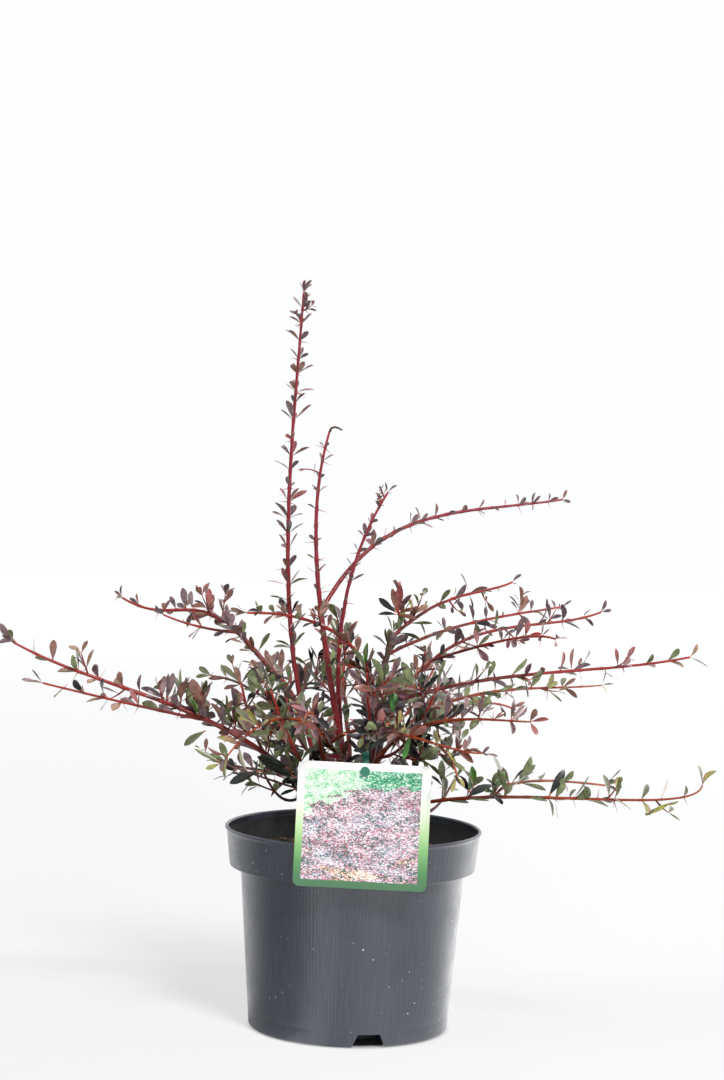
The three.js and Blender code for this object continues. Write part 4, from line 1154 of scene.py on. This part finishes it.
# The near-black singles low on the left, before the strap and at the right knot are painted shade.
SINGLE_LEAVES = [             # the piece's tone, tint, root and tip
    ("olive", "bright_green", (25, -65, 238), (27, -65, 256)),
    ("olive", "bright_green", (38, -92, 228), (33, -95, 211)),
    ("bronze", "olive", (-108, -50, 222), (-125, -50, 212)),
    ("olive", "black_green", (-41, -60, 191), (-72, -66, 202)),
    ("olive", "black_green", (-67, -64, 196), (-90, -68, 188)),
    ("olive", "black_green", (-47, -60, 197), (-67, -64, 209)),
    ("olive", "black_green", (-41, -58, 183), (-53, -62, 179)),
    ("olive", "olive", (-96, -70, 202), (-116, -72, 210)),
    ("olive", "yellow_green", (-96, -70, 201), (-106, -70, 196)),
    ("olive", "black_green", (26, -95, 226), (-2, -97, 217)),
    ("olive", "black_green", (24, -95, 236), (0, -97, 231)),
    ("plum", "black_plum", (-10, -95, 228), (14, -97, 223)),
    ("plum", "black_plum", (-5, -95, 238), (13, -97, 234)),
    ("olive", "yellow_green", (225, -80, 184), (210, -85, 178)),
    ("bronze", "plum", (-245, -55, 282), (-256, -55, 287)),
    ("plum", "black_plum", (28, 32, 305), (13, 28, 316)),
    ("plum", "bronze", (28, 32, 306), (24, 29, 323)),
    ("plum", "rose", (28, 32, 307), (31, 28, 326)),
    ("plum", "plum", (28, 32, 306), (38, 28, 319)),
    ("plum", "bronze", (28, 32, 305), (44, 30, 311)),
    ("plum", "black_plum", (28, 32, 304), (15, 26, 307)),
    ("plum", "bronze", (28, 32, 304), (41, 24, 303)),
]
LEAF_STATIONS = np.array([0.0, 0.15, 0.4, 0.63, 0.82, 0.95])
MARGIN_SHARE = 0.74
BLADE_ACROSS = np.array([0, MARGIN_SHARE, 1, 0, -1, -MARGIN_SHARE])
BLADE_LIFT = np.array([0.5, 0.3, 0, -0.5, 0, 0.3]) * LEAF_THICKNESS
CARD_KEEPOUT = (-43, 55, 208.5, -86)               # left, right, top and back
RIM_KEEPOUT = (130, 171)                           # radius and height

leaf_finishes = {}
for name, (colour, roughness, gloss) in LEAF_TINTS.items():
    leaf_finishes[name], tree, shader = finish_of(
        f"leaf_{name}", colour, roughness, Specular_IOR_Level=0.55 * gloss, Coat_Weight=0.4 * gloss,
        Coat_Roughness=0.22,
    )
    base = {"Saturation": 1.2, "Color": tint(colour)}
    darker, lighter = (
        wired(tree, "HueSaturation", base | {"Value": value}).outputs["Color"] for value in LEAF_MOTTLE
    )
    shade = mixed(tree, grain(tree, 220.0)["Value"], darker, lighter)
    tree.links.new(shade, shader.inputs["Base Color"])
    roughened(tree, shader, 500.0, roughness - 0.08, roughness + 0.12, 0.00008)


def leaf_blades(roots, along, faces, lengths, breadth, dice):
    """All blades at once. A blade's half width is the 0.7th power of the sine of pi times
    the 1.6th power of the share of its length, so it is widest past its middle. Its edges
    are raised into a shallow fold, its midline bends by the square of that share, and each
    ring has five points on the upper face and edges and one on the underside."""
    def drawn(bounds):
        return dice.uniform(*bounds, len(roots))[:, None, None]

    share = LEAF_STATIONS[None, :, None]
    width = np.maximum(np.sin(math.pi * share**1.6)**0.7, 0.1)
    size = lengths[:, None, None]
    half = 0.5 * size * breadth * (ASPECT_LENGTH / size) ** 0.35 * drawn(LEAF_ASPECTS)
    fold, bend, sway, twist = (drawn(b) for b in (BLADE_FOLDS, BLADE_BENDS, BLADE_SWAYS, BLADE_TWISTS))
    flat_across = BLADE_ACROSS * width * half
    raised = np.abs(flat_across) * fold + BLADE_LIFT * np.sqrt(width)
    cosine, sine = np.cos(twist * share), np.sin(twist * share)
    x = flat_across * cosine - raised * sine + sway * size * share**2
    z = flat_across * sine + raised * cosine + bend * size * share**2
    y = size * share + 0 * x
    side = unit(np.cross(along, faces))
    axes = np.stack([side, along, np.cross(side, along)], 1)
    rings = np.einsum("nrsi,nij->nrsj", np.stack([x, y, z], -1), axes) + roots[:, None, None]
    tip = np.concatenate([sway * size, size, bend * size], -1)[:, 0]
    tips = np.einsum("ni,nij->nj", tip, axes) + roots
    return np.concatenate([rings.reshape(len(roots), -1, 3), roots[:, None], tips[:, None]], 1)


def order_in(counts):
    """The node that each of its leaves or thorns belongs to, and their order at it."""
    node = np.repeat(np.arange(len(counts)), counts)
    return node, np.arange(len(node)) - np.repeat(np.cumsum(counts) - counts, counts)


def rosette_rows(stem, dice):
    """Roots, ways, upper faces, lengths and nodes of all leaves on a stem. Nodes turn on by
    the golden angle. A node's random vigour sets how many leaves it has and their size. They
    stand evenly round it, lean away from the stem, rise or sink a little, and are smaller
    near the stem's tip."""
    low, high = stem["crowd"]
    nodes = np.append(stem["nodes"], stem["length"])
    vigour = dice.uniform(0, 1, len(nodes)) ** VIGOUR_POWER
    vigour[-1] = TIP_VIGOUR
    counts = low + np.round(vigour * (high - low)).astype(int)
    node, order = order_in(counts)
    count = len(node)
    share = share_at(stem["route"], nodes)[node]
    way = route_way(stem["route"], share)
    turn = node * GOLDEN_ANGLE + order * 2 * math.pi / counts[node]
    turn = turn + dice.uniform(-TURN_JITTER, TURN_JITTER, count)
    at_tip = node == len(nodes) - 1
    lean = np.where(at_tip, dice.uniform(*TIP_LEANS, count), dice.uniform(*ROSETTE_LEANS, count))
    along = leaning(way, turn, np.radians(lean))
    stand = "inner" if stem["owner"].startswith("inner") else "other"
    rise, spread, smallest = LEAF_STANDS.get(stem["owner"], LEAF_STANDS[stand])
    along[:, 2] += np.where(at_tip, TIP_RISE, dice.uniform(*rise, count))
    along = unit(along)
    radius = np.interp(share, [0, 1], stem["radii"])
    root = route_point(stem["route"], share) + along * radius[:, None] * 0.6
    upper = 0.8 * way + np.array([0, 0, 0.7]) + dice.normal(0, spread, (count, 3))
    size = stem["leaf"] * (1 - 0.5 * np.maximum(0, share - 0.5)) * (0.8 + 0.4 * vigour[node])
    size = size * dice.uniform(smallest, LARGEST, count)
    if stem["owner"] == DRY_TIPPED:
        size[at_tip] = 1
    return root, along, upper, size, node


def in_the_way(corners):
    """Leaves or thorns that would reach into the card, the pot's rim or the soil."""
    x, y, z = np.moveaxis(corners, -1, 0)
    left, right, top, back = CARD_KEEPOUT
    radius, height = RIM_KEEPOUT
    card = (x > left) & (x < right) & (z < top) & (y < back)
    return (card | (np.hypot(x, y) < radius) & (z < height)).any(1)


def dealt_tints(mixes, zone, node, dice):
    """Each leaf's tint, from the mix of its zone: half of the leaves take their rosette's
    tint and the other half one of their own."""
    own = np.empty(len(node), object)
    for number, mix in enumerate(mixes):
        shares = np.array(list(mix.values()))
        shares = shares / shares.sum()
        dealt = dice.choice(len(mix), node.max() + 1, p=shares)[node]
        odd = dice.uniform(size=len(node)) < 0.5
        dealt = np.where(odd, dice.choice(len(mix), len(node), p=shares), dealt)
        own = np.where(zone == number, np.array(list(mix), object)[dealt], own)
    return own


leaf_dice = np.random.default_rng(31)
single_dice = np.random.default_rng(8)
tone_of = {row.name: row.tone for row in SHOOTS} | {row[0]: row[4] for row in TUFTS}
for tone, mixes in MIXES.items():
    singles = [row for row in SINGLE_LEAVES if row[0] == tone]
    mix_names = sorted({name for mix in mixes for name in mix} | {row[1] for row in singles})
    names = [*mix_names, *sorted({MARGINS[name] for name in mix_names if name in MARGINS} - set(mix_names))]
    names += sorted({UNDERSIDES[name] for name in mix_names}) + ["stalk"]
    blades, looks = [], []
    for stem in (stem for stem in stems if tone_of[stem["owner"]] == tone and stem["leaf"]):
        root, along, upper, size, node = rosette_rows(stem, leaf_dice)
        breadth = LEAF_BREADTHS.get(stem["owner"], 1)
        corners = leaf_blades(root, along, upper, size, breadth, leaf_dice)
        kept = ~in_the_way(corners)
        # Leaves below the heart count as nearer to it, so the near-black tints of painted shade reach
        # further out low down.
        shelter = SHADE_BELOW * np.maximum(0, HEART[2] - root[:, 2])
        zone = np.searchsorted(MIX_REACHES, np.linalg.norm(root - HEART, axis=1) - shelter)
        own = dealt_tints(mixes, zone, node, leaf_dice)
        top_look = np.array([names.index(name) for name in own])
        edge_look = np.array([names.index(MARGINS.get(name, name)) for name in own])
        under_look = np.array([names.index(UNDERSIDES[name]) for name in own])
        strips = np.stack([top_look, edge_look, under_look, under_look, edge_look, top_look], -1)
        blades.append(corners[kept])
        looks.append(strips[kept])
    if singles:
        root = np.array([row[2] for row in singles], float)
        reach = np.array([row[3] for row in singles]) - root
        size = np.linalg.norm(reach, axis=1)
        upper = np.tile([0.0, -1, 0.8], (len(singles), 1))
        blades.append(leaf_blades(root, reach / size[:, None], upper, size, 1, single_dice))
        looks.append(np.array([[names.index(row[1])] * 6 for row in singles]))
    corners = np.concatenate(blades)
    strips = np.concatenate(looks)[:, None, :]
    rings = len(LEAF_STATIONS)
    _, quads, triangles = tube_of(corners[0, :-2].reshape(rings, 6, 3), corners[0, -2], corners[0, -1])
    stalks = np.full_like(strips, names.index("stalk"))
    quad_looks = np.concatenate([stalks, np.tile(strips, (1, rings - 2, 1))], 1).ravel()
    triangle_looks = np.concatenate([stalks, strips], 1).ravel()
    leaves = piece_of(
        f"leaves_{tone}", corners, repeated(quads, corners), repeated(triangles, corners),
        [leaf_finishes[name] for name in names], np.concatenate([quad_looks, triangle_looks]), crease=60,
    )
    masses = [f"foliage_{name}" for name, own_tone in tone_of.items() if own_tone == tone]
    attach(leaves, "root")
    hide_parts(*[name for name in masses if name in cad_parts])

# Thorns: slender hard spines, horn-brown and smooth, that stand one or three together under
# a node's rosette. Each is a closed cone of three rings that grows out of its stem.
THORN_RADIUS = 0.42
THORN_SIDES = 4
THORN_COUNTS = ([0, 1, 3], [0.38, 0.5, 0.12])      # how many, and how often
THORN_TURN = 1.1
THORN_LEANS = (62, 92)
THORN_JITTER = 0.4
THORN_DROOP = np.array([0, 0, 0.4])
THORN_LENGTHS = (0.6, 1.25)
THORN_STATIONS = np.array([0, 0.35, 0.7])
THORN_TAPER = np.array([1.0, 0.62, 0.3])

thorn_dice = np.random.default_rng(43)
thorn_rows = []
for stem in stems:
    nodes = stem["nodes"]
    node, order = order_in(thorn_dice.choice(THORN_COUNTS[0], len(nodes), p=THORN_COUNTS[1]))
    count = len(node)
    if not count:
        continue
    share = share_at(stem["route"], nodes)[node]
    way = route_way(stem["route"], share)
    turn = node * GOLDEN_ANGLE + math.pi + (order - 1) * THORN_TURN
    turn = turn + thorn_dice.uniform(-THORN_JITTER, THORN_JITTER, count)
    lean = np.radians(thorn_dice.uniform(*THORN_LEANS, count))
    spine = leaning(way, turn, lean) - THORN_DROOP
    beyond = 1.3 * stem["thorn"] * thorn_dice.uniform(*THORN_LENGTHS, count)
    reach = beyond + np.interp(share, [0, 1], stem["radii"])
    thorn_rows.append((route_point(stem["route"], share), unit(spine), reach))
roots, ways, lengths = (np.concatenate(column) for column in zip(*thorn_rows))
side = unit(np.cross(ways, (0.31, 0.22, 0.92)))
spines = ways * lengths[:, None]
ring = round_ways(side, np.cross(ways, side), THORN_SIDES)[:, None]
radius = (THORN_RADIUS * THORN_TAPER)[None, :, None, None]
rings = roots[:, None, None] + spines[:, None, None] * THORN_STATIONS[None, :, None, None] + ring * radius
points = roots + spines
corners = np.concatenate([rings.reshape(len(roots), -1, 3), roots[:, None], points[:, None]], 1)
corners = corners[~in_the_way(corners)]
_, quads, triangles = tube_of(rings[0], roots[0], points[0])
thorn_finish = bark_finish("thorn_horn", "94483a", 0.5, 0.0001)
thorns = piece_of(
    "thorns", corners, repeated(quads, corners), repeated(triangles, corners), [thorn_finish], crease=70,
)
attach(thorns, "root")

# Card: a printed sheet of white plastic with rounded corners that hangs by its strap before
# the rim and is turned a little in its plane. Its border runs from white down to leaf green, round a
# generic print of small pink, white and grey-green flecks under a green band.
CARD_MIDDLE = Vector((0.0062, 0, 0.163))           # in metres
CARD_TURN = math.radians(1.2)
CARD_WIDTH = 94
CARD_HEIGHT = 88
PRINT_INSET = 5.2
PRINT_SHIFT = 0.75
BORDER_STOPS = (
    (0.0, "356040"), (0.1, "3b6a42"), (0.2, "4d834e"), (0.33, "74a567"), (0.47, "aac994"),
    (0.62, "d4dfc8"), (0.8, "eaedea"),
)
PINK_STOPS = (
    (0.0, "365245"), (0.13, "6c848f"), (0.25, "a0788a"), (0.38, "c498aa"), (0.49, "b8735a"),
    (0.51, "ac4862"), (0.6, "c8b0ba"), (0.72, "dcd4da"),
)
COOL_STOPS = (
    (0.0, "4a6460"), (0.13, "7590a0"), (0.27, "9aa8ba"), (0.4, "bab4c6"), (0.5, "c06a78"),
    (0.53, "cdbac8"), (0.66, "dcdde4"),
)
WARM_STOPS = (
    (0.0, "4c5c44"), (0.13, "8a7c5e"), (0.25, "c08e66"), (0.4, "d8a894"), (0.55, "deccc4"),
    (0.68, "e6e2de"),
)
DEEP_GREEN_STOPS = ((0.0, "136a4e"), (0.3, "2f8f69"), (0.55, "66b48c"), (0.8, "c8dccc"))
PALE_GREEN_STOPS = ((0.0, "6fb68a"), (0.16, "a4d0ae"), (0.4, "c8dfc8"), (0.7, "e2ebe0"))


def mapped(tree, vector, **changes):
    """Vector socket moved, turned and scaled by a Mapping node."""
    return wired(tree, "Mapping", {"Vector": vector, **changes}).outputs["Vector"]


def noise(tree, vector, scale, detail):
    """Value socket of fractal noise."""
    inputs = {"Vector": vector, "Scale": scale, "Detail": detail}
    return wired(tree, "TexNoise", inputs).outputs["Fac"]


def scaled(tree, value, factor):
    """Value socket multiplied by a number or another socket."""
    return reckoned(tree, "MULTIPLY", value, factor)


card_finish, tree, shader = finish_of("card_print", "e9ede4", 0.38)
coordinates = wired(tree, "TexCoord").outputs
card_shift = -(Matrix.Rotation(-CARD_TURN, 3, "Y") @ CARD_MIDDLE)
level = mapped(tree, coordinates["Object"], Location=card_shift, Rotation=(0, -CARD_TURN, 0))
card_scale = (2 / (CARD_WIDTH * MM), 1, 1 / (CARD_HEIGHT * MM))
axes = axes_of(tree, mapped(tree, level, Location=(0, 0, 0.5), Scale=card_scale))
across, up = axes["X"], axes["Z"]

border = ramp(tree, up, BORDER_STOPS)
from_middle = reckoned(tree, "ABSOLUTE", reckoned(tree, "ADD", across, 2 * PRINT_SHIFT / CARD_WIDTH))
side_mask = reckoned(tree, "LESS_THAN", from_middle, 1 - 2 * (PRINT_INSET + PRINT_SHIFT) / CARD_WIDTH)
foot_mask = reckoned(tree, "GREATER_THAN", up, PRINT_INSET / CARD_HEIGHT)
head_mask = reckoned(tree, "LESS_THAN", up, 1 - PRINT_INSET / CARD_HEIGHT)
print_mask = scaled(tree, scaled(tree, side_mask, foot_mask), head_mask)

squeezed = mapped(tree, level, Scale=(1, 1, 1.5))
petals = wired(tree, "TexVoronoi", {"Vector": squeezed, "Scale": 1050.0})
dice = wired(tree, "SeparateColor", {"Color": petals.outputs["Color"]})
long_waves = mapped(tree, level, Rotation=(0, math.radians(-18), 0), Scale=(1, 1, 2.4))
drift = noise(tree, long_waves, 85.0, 3.0)
drifted = scaled(tree, reckoned(tree, "SUBTRACT", drift, 0.5), 1.5)
downward = scaled(tree, reckoned(tree, "SUBTRACT", 1, up), 0.12)
fleck = reckoned(tree, "SUBTRACT", reckoned(tree, "ADD", dice.outputs["Red"], drifted), downward)
pinks, cool, warm, deep_greens, pale_greens = (
    ramp(tree, fleck, stops, "CONSTANT")
    for stops in (PINK_STOPS, COOL_STOPS, WARM_STOPS, DEEP_GREEN_STOPS, PALE_GREEN_STOPS)
)
hue_drift = noise(tree, long_waves, 36.0, 2.0)
coolness = spanned(tree, hue_drift, 0.5, 0.66, 0.0, 0.65)
low_down = reckoned(tree, "LESS_THAN", up, 0.3)
warmth = scaled(tree, spanned(tree, hue_drift, 0.46, 0.38), low_down)
petal_colours = mixed(tree, coolness, mixed(tree, warmth, pinks, warm), cool)
leftness = reckoned(tree, "MINIMUM", across, 0)
band_height = reckoned(tree, "ADD", scaled(tree, leftness, 0.22), 0.8)
wavy_height = reckoned(tree, "ADD", up, scaled(tree, drifted, 0.2))
band = reckoned(tree, "GREATER_THAN", wavy_height, band_height)
on_right = reckoned(tree, "GREATER_THAN", reckoned(tree, "ADD", across, scaled(tree, drifted, 1.2)), 0.0)
greens = mixed(tree, on_right, pale_greens, deep_greens)
printed = mixed(tree, print_mask, border, mixed(tree, band, petal_colours, greens))
front = reckoned(tree, "LESS_THAN", axes_of(tree, coordinates["Normal"])["Y"], -0.5)
tree.links.new(mixed(tree, front, "e8ebe6", printed), shader.inputs["Base Color"])
roughened(tree, shader, 300.0, 0.3, 0.42)


def dress(name, finish):
    """Puts a finish on all faces of a shown CAD node."""
    for material_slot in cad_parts[name].material_slots:
        material_slot.material = finish


dress("card", card_finish)

# Strap: a flat band of teal plastic that hangs over the shoot behind the card, with a
# round-headed peg pushed through the card's hole.
strap_finish, tree, shader = finish_of("strap_plastic", "105c4a", 0.45)
strap_grain = roughened(tree, shader, 500.0, 0.36, 0.55, 0.0001)
tree.links.new(mixed(tree, strap_grain["Value"], "0e5141", "166a56"), shader.inputs["Base Color"])
dress("strap", strap_finish)

low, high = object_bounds()
